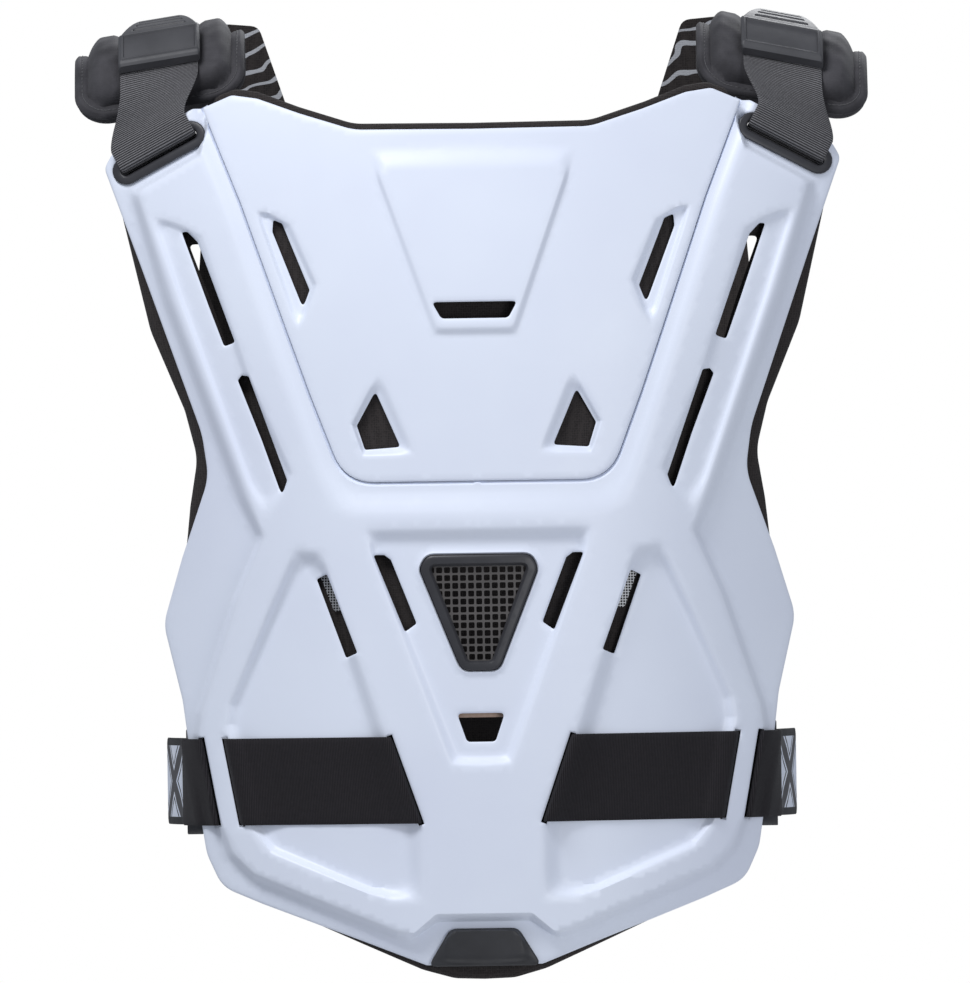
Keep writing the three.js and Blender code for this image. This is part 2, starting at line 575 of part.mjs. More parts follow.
const ledgeRim = { points: seam.points, closed: false };
const ledgeFloor = { points: moved(seam.points, LEDGE_WALL), closed: false };
const ledgeRoot = { points: moved(seam.points, -SHELL_WALL), closed: false };
const ledge = { outer: { rim: ledgeRim, floor: ledgeFloor }, inner: { rim: ledgeRoot, floor: ledgeRim } };
const shellForm = (x, z) =>
  BODY_RISE * share(region.body, x, z) - SHELF_SINK * share(region.shelf, x, z) -
  SEAT_SINK * share(region.seat, x, z) - LOWER_PANEL_SINK * share(region.lower, x, z) -
  VEE_PANEL_SINK * share(region.vee, x, z);
const shellOuter = (x, z) => shellForm(x, z) - LEDGE_SINK * share(ledge.outer, x, z);
const shellInner = (x, z) => shellForm(x, z) - LEDGE_SINK * share(ledge.inner, x, z) - SHELL_WALL;

const cut = (rows) => drawn(rows, true);
const ventEdge = drawn(VENT_EDGE, false);
const ventHole = { points: moved(ventEdge.points, -FIT_GAP), closed: false };
// The shell's edge runs up the ledge that carries the plate, over the top corner and down the outside.
const ledgeEdge = moved(drawn(PLATE_EDGE.slice(PLATE_NECK_ROWS), false).points, LEDGE_WIDTH).reverse();
const shellEdge = { points: [...ledgeEdge, ...drawn(SHELL_EDGE, false).points], closed: false };
const shellHoles = [
  ...Object.values(SHELL_SLOTS).map(cut),
  drawn(LOW_SLOT, false),
  ventHole,
  { points: stadium(RING_RADIUS + FIT_GAP), closed: true },
  ...ELASTIC_SLITS.map((row) => ({ points: slit(row), closed: true })),
];
const half = (rows, closed = false) => drawn(rows, closed);
add("front_shell", sheet({
  edge: shellEdge,
  holes: shellHoles,
  folds: [...Object.values(region).flatMap((r) => [r.rim, r.floor]), ledgeFloor],
  outer: (x, z) => chestAt(x, z) - shellOuter(x, z),
  inner: (x, z) => chestAt(x, z) - shellInner(x, z),
}), "shell");

// Chest plate, flush in its seat with a fine seam round it
const plateRegion = {
  panel: formed(CHEST_PANEL),
  scoop: formed(SCOOP, true),
  diamond: formed(DIAMOND, true),
};
const plateForm = (x, z) =>
  BODY_RISE - SEAT_SINK + CHEST_PANEL_RISE * share(plateRegion.panel, x, z) -
  SCOOP_SINK * (share(plateRegion.scoop, x, z) + share(plateRegion.diamond, x, z));
add("chest_plate", sheet({
  edge: { points: moved(half(PLATE_EDGE).points, SEAM_GAP), closed: false },
  holes: [...Object.values(PLATE_SLOTS).map(cut), half(PANEL_SLOT), plateRegion.diamond.floor],
  folds: Object.values(plateRegion).flatMap((r) => [r.rim, r.floor]),
  outer: (x, z) => chestAt(x, z) - plateForm(x, z),
  inner: (x, z) => chestAt(x, z) - plateForm(x, z) + SHELL_WALL,
}), "shell");

// Foam liner behind both, with windows behind the upper side slots, the vent and the low slot
const linerOuter = -SHELL_WALL - LINER_GAP;
add("front_liner", sheet({
  step: FOAM_STEP,
  edge: drawn(LINER_EDGE, false, FOAM_STEP),
  holes: [cut(SIDE_WINDOW), { points: moved(ventEdge.points, -WINDOW_MARGIN), closed: false },
    { points: moved(half(LOW_SLOT).points, -WINDOW_MARGIN), closed: false }],
  outer: (x, z) => chestAt(x, z) - linerOuter,
  inner: (x, z) => chestAt(x, z) - linerOuter + LINER_WALL,
}), "foam");

// Vent: a frame let into the V panel, and the mesh that it holds
const ventLevel = BODY_RISE - VEE_PANEL_SINK + VENT_PROUD;
add("vent_frame", sheet({
  edge: ventEdge,
  holes: [half(VENT_OPENING)],
  outer: (x, z) => chestAt(x, z) - ventLevel,
  inner: (x, z) => chestAt(x, z) - ventLevel + VENT_FRAME_DEPTH,
}), "trim");

// The mesh is cut flat, an eye at a time, and then bowed like the shell.
const wasm = await Module();
wasm.setup();
const solidOf = (geometry) => new wasm.Manifold(new wasm.Mesh({
  numProp: 3,
  vertProperties: geometry.attributes.position.array,
  triVerts: new Uint32Array(geometry.index.array),
}));

function slab(outline, thickness) {
  const shape = new THREE.Shape(outline.map(([a, b]) => new THREE.Vector2(a, b)));
  const flat = new THREE.ExtrudeGeometry(shape, { depth: thickness, bevelEnabled: false });
  for (const name of ["normal", "uv"]) flat.deleteAttribute(name);
  return mergeVertices(flat, 1e-4);
}
const box2 = (a0, a1, b0, b1) => [[a0, b0], [a1, b0], [a1, b1], [a0, b1]];

function ventMesh() {
  const rim = moved(half(VENT_OPENING).points, FIT_GAP);
  const outline = [...rim, ...rim.filter((p) => p[0] > 0).map(([x, z]) => [-x, z]).reverse()].reverse();
  const border = { points: outline, closed: true };
  let flat = solidOf(slab(outline, VENT_MESH_THICKNESS));
  const eye = VENT_MESH_PITCH - VENT_MESH_BAR;
  const [low, high] = [rim.at(-1)[1], rim[0][1]];
  const columns = Math.floor(Math.max(...rim.map((p) => p[0])) / VENT_MESH_PITCH);
  for (let z = high - VENT_MESH_BAR - eye; z > low + VENT_MESH_BAR; z -= VENT_MESH_PITCH)
    for (let c = -columns; c <= columns; c++) {
      const x = c * VENT_MESH_PITCH - eye / 2;
      const hole = box2(x, x + eye, z, z + eye);
      if (!hole.every((p) => inside(p, outline) && distance(p, border) > VENT_MESH_BAR / 2)) continue;
      const punch = slab(hole, 3 * VENT_MESH_THICKNESS).translate(0, 0, -VENT_MESH_THICKNESS);
      flat = flat.subtract(solidOf(punch));
    }
  const { vertProperties, triVerts } = flat.getMesh();
  const depth = ventLevel - VENT_FRAME_DEPTH / 2;
  const position = [];
  for (let i = 0; i < vertProperties.length; i += 3) {
    const [x, z, out] = vertProperties.slice(i, i + 3);
    position.push(x, chestAt(x, z) - depth - out, z);
  }
  return closedBody(position, [...triVerts]);
}
add("vent_mesh", ventMesh(), "trim");

add("lower_badge", sheet({
  edge: half(BADGE_EDGE),
  outer: (x, z) => chestAt(x, z) - CLOTH_GAP - BADGE_THICKNESS,
  inner: (x, z) => chestAt(x, z) - CLOTH_GAP,
}), "rubber");

// Back shell and its liner, whose wings rise to the shoulders
const backRegion = { body: formed(BACK_BODY), spine: formed(SPINE) };
const backForm = (x, z) =>
  BODY_RISE * share(backRegion.body, x, z) + SPINE_RISE * share(backRegion.spine, x, z);
const backRingHole = { points: stadium(RING_RADIUS + FIT_GAP, BACK_RING_ENDS), closed: true };
add("back_shell", sheet({
  edge: half(BACK_EDGE),
  holes: [...Object.values(BACK_SLOTS).map(cut), backRingHole],
  folds: Object.values(backRegion).flatMap((r) => [r.rim, r.floor]),
  outer: (x, z) => backAt(x, z) + backForm(x, z),
  inner: (x, z) => backAt(x, z) + backForm(x, z) - SHELL_WALL,
}), "shell");
add("back_liner", sheet({
  step: FOAM_STEP,
  edge: drawn(BACK_LINER_EDGE, false, FOAM_STEP),
  outer: (x, z) => backAt(x, z) + linerOuter,
  inner: (x, z) => backAt(x, z) + linerOuter - LINER_WALL,
}), "foam");

// A strap ring: a trim of square section round its slot, proud of the shell on both faces
function strapRing(ends, surface, out) {
  const [outside, within] = [stadium(RING_RADIUS, ends), stadium(RING_RADIUS - RING_BAR, ends)];
  return (side) => loft(outside.map((p, i) => {
    const q = within[i];
    const at = ([x, z], rise) => [side * x, surface(x, z) + out * rise, z];
    const under = RING_PROUD - RING_DEPTH;
    return [at(p, RING_PROUD), at(p, under), at(q, under), at(q, RING_PROUD)];
  }), true);
}
const frontRing = strapRing(RING_ENDS, chestAt, -1);
const backRing = strapRing(BACK_RING_ENDS, backAt, 1);

// The shoulder saddle: a point at an angle from its top, forward negative, and a distance from its underside
const saddle = (x, degrees, out) => {
  const turn = THREE.MathUtils.degToRad(degrees);
  return [x, PAD_LEAN + (PAD_REACH + out) * Math.sin(turn), (PAD_RADIUS + out) * Math.cos(turn) - PAD_RADIUS];
};

// Sections of the pad along the saddle: shares of its width and thickness
const PAD_SECTIONS = table("degrees width thickness",
  [-76, 0.5, 0.45], [-71, 0.76, 0.8], [-60, 0.95, 1], [-45, 1, 1], [-30, 1, 1], [-15, 1, 1], [0, 1, 1],
  [15, 1, 1], [30, 1, 1], [45, 1, 1], [60, 0.95, 1], [71, 0.76, 0.8], [76, 0.5, 0.45]);
const PAD_RING = table("wide thick",
  [1, 0.35], [1, 0.65], [0.86, 0.94], [0.4, 1], [-0.4, 1], [-0.86, 0.94], [-1, 0.65], [-1, 0.35],
  [-0.86, 0.06], [-0.4, 0], [0.4, 0], [0.86, 0.06]);
const shoulderPad = (side) => loft(PAD_SECTIONS.map((row) => PAD_RING.map((point) =>
  saddle(side * (PAD_CENTRE + (point.wide * row.width * PAD_WIDTH) / 2), row.degrees,
    PAD_THICKNESS / 2 + (point.thick - 0.5) * row.thickness * PAD_THICKNESS))));

// Webbing from the front ring over the saddle to the back ring: the angles of its outer and inner edge
const WEBBING_RUN = table("outer inner lift", [-75, -57, 1.8], [-60, -52, 0.7], [-45, -45, 0], [-30, -30, 0],
  [-15, -15, 0], [0, 0, 0], [15, 15, 0], [30, 30, 0], [45, 45, 0], [60, 52, 0.7], [75, 57, 1.8]);
function shoulderStrap(side) {
  const over = PAD_THICKNESS + FIT_GAP + WEBBING_THICKNESS / 2;
  const edge = (s) => side * (PAD_CENTRE + (s * WEBBING_WIDTH) / 2);
  const atRing = (ends, surface, out, up, rise) => {
    const [a, b] = ends.map((row) => new THREE.Vector2(across(row.x), level(row.z)));
    const along = a.clone().sub(b).normalize();
    const upward = new THREE.Vector2(-along.y, along.x).multiplyScalar(up);
    const middle = a.clone().add(b).multiplyScalar(0.5);
    return [1, -1].map((s) => {
      const p = middle.clone().addScaledVector(along, (s * WEBBING_WIDTH) / 2).add(upward);
      return [side * p.x, surface(p.x, p.y) + out * rise, p.y];
    });
  };
  const behind = RING_PROUD - RING_DEPTH - FIT_GAP - WEBBING_THICKNESS;
  const ahead = RING_PROUD + FIT_GAP + WEBBING_THICKNESS;
  const bar = RING_RADIUS + WEBBING_THICKNESS;
  const end = (ends, surface, out) => [
    atRing(ends, surface, out, bar, behind), atRing(ends, surface, out, 0, behind),
    atRing(ends, surface, out, 0, ahead), atRing(ends, surface, out, bar, ahead),
    atRing(ends, surface, out, bar + EDGE_BEYOND_RING, ahead)];
  return band([
    ...end(RING_ENDS, chestAt, -1),
    ...WEBBING_RUN.map((row) => [[1, row.outer], [-1, row.inner]].map(([s, degrees]) =>
      saddle(edge(s), degrees, over + row.lift))),
    ...end(BACK_RING_ENDS, backAt, 1).reverse(),
  ], WEBBING_THICKNESS);
}

// Rubber keeper on the webbing, narrower towards the back
const KEEPER_SECTIONS = table("degrees width thickness",
  [-45, 1, 1], [-30, 1, 1], [-15, 0.96, 0.85], [0, 0.5, 0.6], [6, 0.4, 0.35]);
const keeper = (side) => {
  const under = PAD_THICKNESS + 2 * FIT_GAP + WEBBING_THICKNESS;
  return loft(KEEPER_SECTIONS.map((row) => [[1, 0], [1, 1], [-1, 1], [-1, 0]].map(([wide, thick]) =>
    saddle(side * (PAD_CENTRE + (wide * row.width * KEEPER_WIDTH) / 2), row.degrees,
      under + thick * row.thickness * KEEPER_THICKNESS))));
};

// Elastic: from behind the rib beside the V, out of the first slit, across the lower panel, in at the
// second, behind the outer rib, out at the third, over the flange and round its edge to the buckle
const near = across(6);
const around = (x, z) => [x - near, x, x + near].map((p) => shellForm(p, z));
const overShell = (x, z) => Math.max(...around(x, z)) + CLOTH_GAP + ELASTIC_THICKNESS / 2;
const underShell = (x, z) => Math.min(...around(x, z)) - SHELL_WALL - CLOTH_GAP - ELASTIC_THICKNESS / 2;
const ELASTIC_PLAN = table("topX bottomX front",
  [76, 46, 0], [91.5, 61.5, 0], [91.5, 61.5, 1], [100, 70, 1], [120, 88, 1], [180, 150, 1], [232, 214, 1],
  [246, 229, 1], [257, 241, 1], [257, 241, 0], [269, 253, 0], [280.5, 265, 0], [280.5, 265, 1],
  [289, 275, 1], [297.5, 285, 1]);
const ELASTIC_ZS = [level(ELASTIC_TOP), level(ELASTIC_BOTTOM)];
function elasticBand(side) {
  const onShell = ELASTIC_PLAN.map((row) => [row.topX, row.bottomX].map((steps, i) => {
    const [x, z] = [across(steps), ELASTIC_ZS[i]];
    const rise = row.front ? overShell(x, z) : underShell(x, z);
    return [side * x, chestAt(x, z) - rise, z];
  }));
  const beside = BUCKLE_THICKNESS / 2 + CLOTH_GAP + ELASTIC_THICKNESS / 2;
  const slot = buckleFront + (barSlot.near + barSlot.far) / 2;
  const rounding = FLANGE_ROUND.map((steps, i) => {
    const x = across(steps);
    return [side * x, chestAt(x, ELASTIC_ZS[i]) + SHELL_WALL, ELASTIC_ZS[i]];
  });
  const toBuckle = [[beside, buckleFront - 1], [beside, slot], [-beside, slot], [-beside, buckleFront + 1]]
    .map(([out, y]) => ELASTIC_ZS.map((z) => [side * (buckleX + out), y, z]));
  return band([...onShell, rounding, ...toBuckle], ELASTIC_THICKNESS);
}

// The buckle lies against the side of the wearer, behind the flange's edge
const buckleX = across(BUCKLE_ACROSS);
const buckleZ = (ELASTIC_ZS[0] + ELASTIC_ZS[1]) / 2;
const buckleFront = chestAt(buckleX, buckleZ) + BUCKLE_BEHIND;
const FLANGE_ROUND = [301, 289]; // where the elastic's top and bottom edge turn back round the flange

// Fastened halves: the socket takes the prong's middle tongue and lets its two arms show at the sides
const BUCKLE_PLAN = { socketShare: 0.62, armShare: 0.09, shoulder: 14, chamfer: 3, inset: 2 };
const socketEnd = BUCKLE_LENGTH * BUCKLE_PLAN.socketShare;
const armWidth = BUCKLE_WIDTH * BUCKLE_PLAN.armShare;
const barSlot = { near: 5, far: 10, half: ELASTIC_WIDTH / 2 + 1 };
const strapSlot = [BUCKLE_LENGTH - barSlot.far, BUCKLE_LENGTH - barSlot.near];
function buckle(outline, slot, side) {
  const punch = slab(slot, 3 * BUCKLE_THICKNESS).translate(0, 0, -BUCKLE_THICKNESS);
  const cutBlock = solidOf(slab(outline, BUCKLE_THICKNESS)).subtract(solidOf(punch));
  const { vertProperties, triVerts } = cutBlock.getMesh();
  const position = [];
  for (let i = 0; i < vertProperties.length; i += 3) {
    const [along, up, out] = vertProperties.slice(i, i + 3);
    position.push(side * (buckleX + out - BUCKLE_THICKNESS / 2), buckleFront + along, buckleZ + up);
  }
  return closedBody(position, [...triVerts]);
}
const halfBuckle = BUCKLE_WIDTH / 2;
const besideArm = halfBuckle - armWidth - FIT_GAP;
const { shoulder, chamfer, inset } = BUCKLE_PLAN;
const armTip = shoulder + FIT_GAP;
const prongRoot = socketEnd + FIT_GAP;
// Each half's outline from its middle up one side; the other side is its mirror image
const whole = (side) => [...side.map(([along, up]) => [along, -up]).reverse(), ...side];
const socket = whole([[socketEnd, besideArm], [shoulder, besideArm], [shoulder, halfBuckle],
  [inset, halfBuckle], [0, halfBuckle - chamfer]]);
const prong = whole([[BUCKLE_LENGTH, halfBuckle - chamfer], [BUCKLE_LENGTH - chamfer, halfBuckle],
  [armTip, halfBuckle], [armTip, halfBuckle - armWidth], [prongRoot, halfBuckle - armWidth]]);

// Side strap: its free tail lies outside, and it turns through the prong's bar and runs round the back
// shell's flange, where it is fastened
const STRAP_TAIL = table("out behind", [9, 52], [5, 26], [0, 9], [0, 0]);
function sideStrap(side) {
  const barY = buckleFront + (strapSlot[0] + strapSlot[1]) / 2;
  const beside = BUCKLE_THICKNESS / 2 + CLOTH_GAP + WEBBING_THICKNESS / 2;
  const onFlange = (x) => backAt(x, buckleZ) + 2 * CLOTH_GAP + WEBBING_THICKNESS / 2;
  const edgeX = across(BACK_FLANGE);
  const run = [
    ...STRAP_TAIL.map((row) => [buckleX + beside + row.out, barY + row.behind]),
    [buckleX - beside, barY], [buckleX - beside, barY + PAST_BAR],
    [edgeX + STRAP_TURN, backAt(edgeX, buckleZ) - SHELL_WALL - LINER_WALL],
    [edgeX + STRAP_TURN, onFlange(edgeX)], [edgeX - STRAP_LAP, onFlange(edgeX - STRAP_LAP)],
  ];
  const edges = ([x, y]) => [1, -1].map((s) => [side * x, y, buckleZ + (s * SIDE_STRAP_WIDTH) / 2]);
  return band(run.map(edges), WEBBING_THICKNESS);
}

const barHole = (near, far) => box2(near, far, -barSlot.half, barSlot.half);
for (const [name, side] of Object.entries(SIDES)) {
  add("strap_ring_" + name, frontRing(side), "trim");
  add("back_ring_" + name, backRing(side), "trim");
  add("shoulder_pad_" + name, shoulderPad(side), "padding");
  add("shoulder_strap_" + name, shoulderStrap(side), "webbing");
  add("strap_keeper_" + name, keeper(side), "rubber");
  add("elastic_band_" + name, elasticBand(side), "elastic");
  add("buckle_socket_" + name, buckle(socket, barHole(barSlot.near, barSlot.far), side), "trim");
  add("buckle_prong_" + name, buckle(prong, barHole(...strapSlot), side), "trim");
  add("side_strap_" + name, sideStrap(side), "patterned");
}

export default group;
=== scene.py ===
"""A roost deflector, worn over the shoulders: a white moulded chest shell with its own chest plate, foam liner,
mesh vent and rubber badge, a plain back shell, padded shoulder straps, and elastic bands with buckles and side
straps. Metres, +Z up, the chest faces -Y, and everything is placed by the CAD frame and its grid of steps."""

from math import cos, pi, radians, sin

import bmesh
import bpy
import numpy as np
from mathutils import Matrix, Vector, geometry


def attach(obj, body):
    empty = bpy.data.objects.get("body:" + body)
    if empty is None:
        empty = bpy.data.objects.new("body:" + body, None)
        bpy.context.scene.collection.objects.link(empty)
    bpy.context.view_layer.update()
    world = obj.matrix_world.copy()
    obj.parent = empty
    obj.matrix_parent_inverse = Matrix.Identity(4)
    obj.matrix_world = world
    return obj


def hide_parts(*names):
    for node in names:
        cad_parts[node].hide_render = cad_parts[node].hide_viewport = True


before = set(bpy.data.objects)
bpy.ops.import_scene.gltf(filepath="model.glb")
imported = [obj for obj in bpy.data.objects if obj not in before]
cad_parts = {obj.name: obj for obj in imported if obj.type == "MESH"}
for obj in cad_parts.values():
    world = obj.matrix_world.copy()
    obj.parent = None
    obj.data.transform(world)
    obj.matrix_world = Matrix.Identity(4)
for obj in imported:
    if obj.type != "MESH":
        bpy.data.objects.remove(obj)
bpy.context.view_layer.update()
bpy.ops.object.select_all(action="DESELECT")

# Front shell
# One pressed sheet of white polypropylene, bowed round the chest. Its ribs stand proud of an outer flange, its
# panels are sunk, and slots, strap slits, the vent's window and the strap slots are cut out. Its top is open,
# where a ledge carries the chest plate.
MM = 0.001
FRONT_WIDTH = 405 * MM
FRONT_HEIGHT = 481 * MM
SHOULDER_DROP = 23 * MM
STEP_OUT = FRONT_WIDTH / 2 / 368
STEP_UP = FRONT_HEIGHT / 875
TOP_STEP = 401.5
SHELL_WALL = 2.4 * MM
SHELL_SPACING = 3.1 * MM
LINE_SPACING = 2.6 * MM
LATTICE = {"row": 0.87, "clear": 0.55, "middle": 0.3}
SLOPE_LINES = (0.08, 0.29, 0.5, 0.71, 0.92)
CREASE = 0.1
SHARP_UNDER, TURN_SHARE, WIDE_TURN = 0.5 * MM, 0.48, 14
EDGE_ROUND = 0.7 * MM
EDGE_LINES = (0.45 * MM, 1.3 * MM)
BODY_RISE, SHELF_SINK, SEAT_SINK, LEDGE_SINK = 8 * MM, 3 * MM, 4.2 * MM, 3.4 * MM
LOWER_PANEL_SINK, VEE_PANEL_SINK = 6 * MM, 4.6 * MM
LEDGE_WIDTH, LEDGE_WALL = 4 * MM, 0.8 * MM
COLLAR = {"rise": 0.9 * MM, "near": 0.9 * MM, "far": 2.4 * MM}

# Outlines: steps out from the middle, steps up, and the corner's radius in steps. Slopes have the outline at
# their foot, the one at their head, and the radius.
SHELL_EDGE = [
    (271, 388, 0), (279, 388, 6), (361, 344, 12), (369, 330, 12), (334, 232, 80), (275, 62, 110), (269, 18, 60),
    (297, -62, 60), (317, -128, 46), (299, -205, 90), (292, -262, 60), (277, -360, 50), (262, -393, 34),
    (222, -410, 60), (120, -449, 30), (58, -473.5, 6), (0, -473.5, 0)]
BODY = [
    (0, 440, 0, 430, 0), (268, 440, 264, 430, 6), (268, 372, 264, 366, 6), (276, 346, 272, 338, 8),
    (347, 308, 333, 303, 9), (317, 196, 299, 196, 90), (243, -5, 227, -5, 60), (223, -44, 212, -42, 12),
    (250, -106, 240, -104, 40), (288, -218, 278, -218, 30), (291, -240, 281, -240, 16),
    (268, -333, 259, -332, 40), (259, -364, 248, -358, 22), (234, -388, 228, -378, 18), (89, -448, 86, -437, 6),
    (75, -450, 70, -440, 6), (46, -431, 48, -421, 8), (0, -431, 0, -421, 0)]
SHELF = [
    (327, 286, 312, 271, 4), (289, 273, 290, 261, 6), (269, 262, 279, 252, 6), (226, 125, 236, 124, 30),
    (182, 20, 192, 22, 8), (189, 2, 198, 8, 6), (213, -40, 212, 0, 4), (226, -6, 222, 10, 30),
    (297, 196, 288, 194, 60)]
SEAT = [
    (0, 392, 0, 370, 0), (120, 396, 120, 371, 30), (214, 424, 212, 404, 30), (276, 424, 246, 407, 6),
    (291, 389, 271, 389, 4), (254, 291, 233, 291, 30), (211, 158, 188, 160, 60), (189, 92, 166, 97, 60),
    (149, -29.5, 133, 9.7, 45), (0, -29.5, 0, 9.7, 0)]
LOWER_PANEL = [
    (155, -55, 160, -76, 14), (186, -50, 178, -74, 14), (215, -117, 203, -124, 30), (256, -208, 240, -212, 20),
    (259, -230, 242, -231, 14), (238, -332, 221, -331, 30), (214, -361, 206, -351, 16),
    (93, -411, 112, -393, 10), (57, -414, 80, -394, 12), (56, -335, 80, -334, 8), (92, -241, 115, -237, 30),
    (128, -140, 143, -140, 30)]
VEE_PANEL = [(0, -33, 0, -52, 0), (120, -33, 103, -52, 6), (33, -275, 22, -262, 6), (0, -277, 0, -262, 0)]
SIDE_UPPER_SLOT = [(292, 264.5, 2), (286, 264.5, 3), (276, 254, 3), (240, 153, 3), (251, 149, 3), (266, 190, 20)]
SIDE_LOWER_SLOT = [(238, 115, 3), (234, 120, 2), (227, 119, 3), (190, 14, 4), (195.5, -1.5, 3), (215, 55, 20)]
PANEL_SIDE_SLOT = [(162, -85.4, 2), (151.8, -80.3, 2), (122.5, -159.5, 2), (133.8, -164.5, 2)]
VEE_SIDE_SLOT = [(105, -62, 2), (94, -62, 3), (87.5, -67, 3), (62.8, -131, 3), (74.5, -139.3, 2)]
LOW_SLOT = [(0, -221.5, 0), (24, -221.5, 4), (14.2, -250.2, 5), (0, -250.2, 0)]
VENT_EDGE = [(0, -63.3, 0), (52, -63.3, 12), (59, -77, 12), (18.5, -178.6, 12), (0, -178.6, 0)]
PLATE_EDGE = [
    (0, 364, 0), (118, 365, 60), (171, 382, 30), (214, 398, 30), (240, 402, 12), (271, 389, 4), (233, 291, 30),
    (188, 160, 60), (166, 97, 60), (133, 9.7, 45), (0, 9.7, 0)]
PLATE_NECK_ROWS = 5
RING_ENDS = [(347, 327), (280.5, 362)]
RING_RADIUS = 6.9 * MM
FIT_GAP = 0.35 * MM
SLIT_TOP, SLIT_BOTTOM = -244, -331
SLITS = [(91.5, 61.5), (257, 241), (280.5, 265)]
SLIT_WIDTH, SLIT_OVERRUN = 3.2 * MM, 1.5
CHEST = {"reach": 118 * MM, "crown": 120, "above": 1.9e-6, "below": 6.2e-7, "sweep": 110 * MM}
SWEEP_FALL = {"from": -200, "to": 402, "share": 0.5}
BOW_POWER = 2.1
SHELL_WHITE = (0.79, 0.84, 0.955, 1)
SHELL_SHADE = (0.755, 0.80, 0.925, 1)


def across(steps):
    """Metres from the middle, for steps of the grid."""
    return np.asarray(steps, float) * STEP_OUT


def level(steps):
    """Metres up, for steps of the grid."""
    return (np.asarray(steps, float) - TOP_STEP) * STEP_UP - SHOULDER_DROP


def steps_up(z):
    return (z + SHOULDER_DROP) / STEP_UP + TOP_STEP


def eased(t):
    t = np.clip(t, 0, 1)
    return t * t * (3 - 2 * t)


def bowed(x):
    return (np.abs(x) / (FRONT_WIDTH / 2)) ** BOW_POWER


def chest(x, z):
    """Where the chest's own curve lies, in Y."""
    up = steps_up(z)
    fall = np.where(up > CHEST["crown"], CHEST["above"], CHEST["below"])
    straighter = eased((up - SWEEP_FALL["from"]) / (SWEEP_FALL["to"] - SWEEP_FALL["from"]))
    sweep = CHEST["sweep"] * (1 - SWEEP_FALL["share"] * straighter)
    return -CHEST["reach"] * (1 - fall * (up - CHEST["crown"]) ** 2) + sweep * bowed(x)


def corners(rows, closed):
    """The outline's points in metres, with each corner turned on a curve of its radius."""
    places = [np.array((across(x), level(z))) for x, z, _ in rows]
    points = []
    for i, (_, _, radius) in enumerate(rows):
        corner = places[i]
        if radius * STEP_OUT < SHARP_UNDER or (not closed and i in (0, len(rows) - 1)):
            points.append(corner)
            continue
        before = places[i - 1] - corner
        after = places[(i + 1) % len(rows)] - corner
        room = TURN_SHARE * min(np.linalg.norm(before), np.linalg.norm(after))
        before, after = before / np.linalg.norm(before), after / np.linalg.norm(after)
        angle = np.arccos(np.clip(before @ after, -1, 1))
        reach = min(radius * STEP_OUT / np.tan(angle / 2), room)
        turns = 4 if radius < WIDE_TURN else 8
        for t in np.linspace(0, 1, turns + 1):
            points.append(corner + before * reach * (1 - t) ** 2 + after * reach * t**2)
    return np.array(points)


def divided(lines, closed, spacing=LINE_SPACING):
    """Lines that run side by side, all divided at the same shares, so that no side is longer than the spacing."""
    count = len(lines[0])
    out = [[] for _ in lines]
    for i in range(count if closed else count - 1):
        j = (i + 1) % count
        parts = max(1, int(np.ceil(max(np.linalg.norm(line[j] - line[i]) for line in lines) / spacing)))
        for n, line in enumerate(lines):
            out[n] += [line[i] + (line[j] - line[i]) * p / parts for p in range(parts)]
    if not closed:
        for n, line in enumerate(lines):
            out[n].append(line[-1])
    return [np.array(line) for line in out]


def outline(rows, closed=False):
    return divided([corners(rows, closed)], closed)[0], closed


def slope(rows, closed=False):
    """A pressed form: the outlines at the foot and at the head of its slope, point for point."""
    foot = corners([(a, b, radius) for a, b, _, _, radius in rows], closed)
    head = corners([(a, b, radius) for _, _, a, b, radius in rows], closed)
    foot, head = divided([foot, head], closed)
    return {"foot": foot, "head": head, "closed": closed}


def slope_lines(form):
    return [(form["foot"] + (form["head"] - form["foot"]) * t, form["closed"]) for t in SLOPE_LINES]


def away(points, line, closed):
    """Each point's distance from a line."""
    best = np.full(len(points), np.inf)
    ends = np.roll(line, -1, axis=0) if closed else line[1:]
    for a, b in zip(line if closed else line[:-1], ends):
        run = b - a
        t = np.clip(((points - a) @ run) / max(run @ run, 1e-18), 0, 1)
        best = np.minimum(best, np.linalg.norm(points - a - t[:, None] * run, axis=1))
    return best


def within(points, line):
    """Which points lie inside the line, closed from its end to its start."""
    x, z = points[:, 0], points[:, 1]
    found = np.zeros(len(points), bool)
    for (xi, zi), (xj, zj) in zip(line, np.roll(line, 1, axis=0)):
        if zi != zj:
            found ^= ((zi > z) != (zj > z)) & (x < (xj - xi) * (z - zi) / (zj - zi) + xi)
    return found


def raised(form, points):
    """How far the form has come to its full height: 0 outside its foot, 1 inside its head."""
    to_foot = away(points, form["foot"], form["closed"])
    to_head = away(points, form["head"], form["closed"])
    part = to_foot / np.maximum(to_foot + to_head, 1e-9)
    part = np.where(within(points, form["foot"]), part, 0)
    part = np.where(within(points, form["head"]) | (to_head < 1e-6), 1, part)
    return eased((part - CREASE) / (1 - 2 * CREASE))


def beside(line, closed, by):
    """The line moved sideways, to the right of its own direction when the distance is positive."""
    before = np.roll(line, 1, axis=0)
    after = np.roll(line, -1, axis=0)
    if not closed:
        before[0], after[-1] = line[0], line[-1]
    run = after - before
    out = np.stack([run[:, 1], -run[:, 0]], axis=1) / np.maximum(np.linalg.norm(run, axis=1), 1e-12)[:, None]
    moved = line + out * by
    moved[line[:, 0] == 0, 0] = 0
    keep = (away(moved, line, closed) > 0.8 * abs(by)) | (line[:, 0] == 0)
    return moved[keep]


def on_chest(depth):
    """A face of a pressed sheet that lies a depth behind the chest's curve."""
    return lambda points: chest(points[:, 0], points[:, 1]) + depth


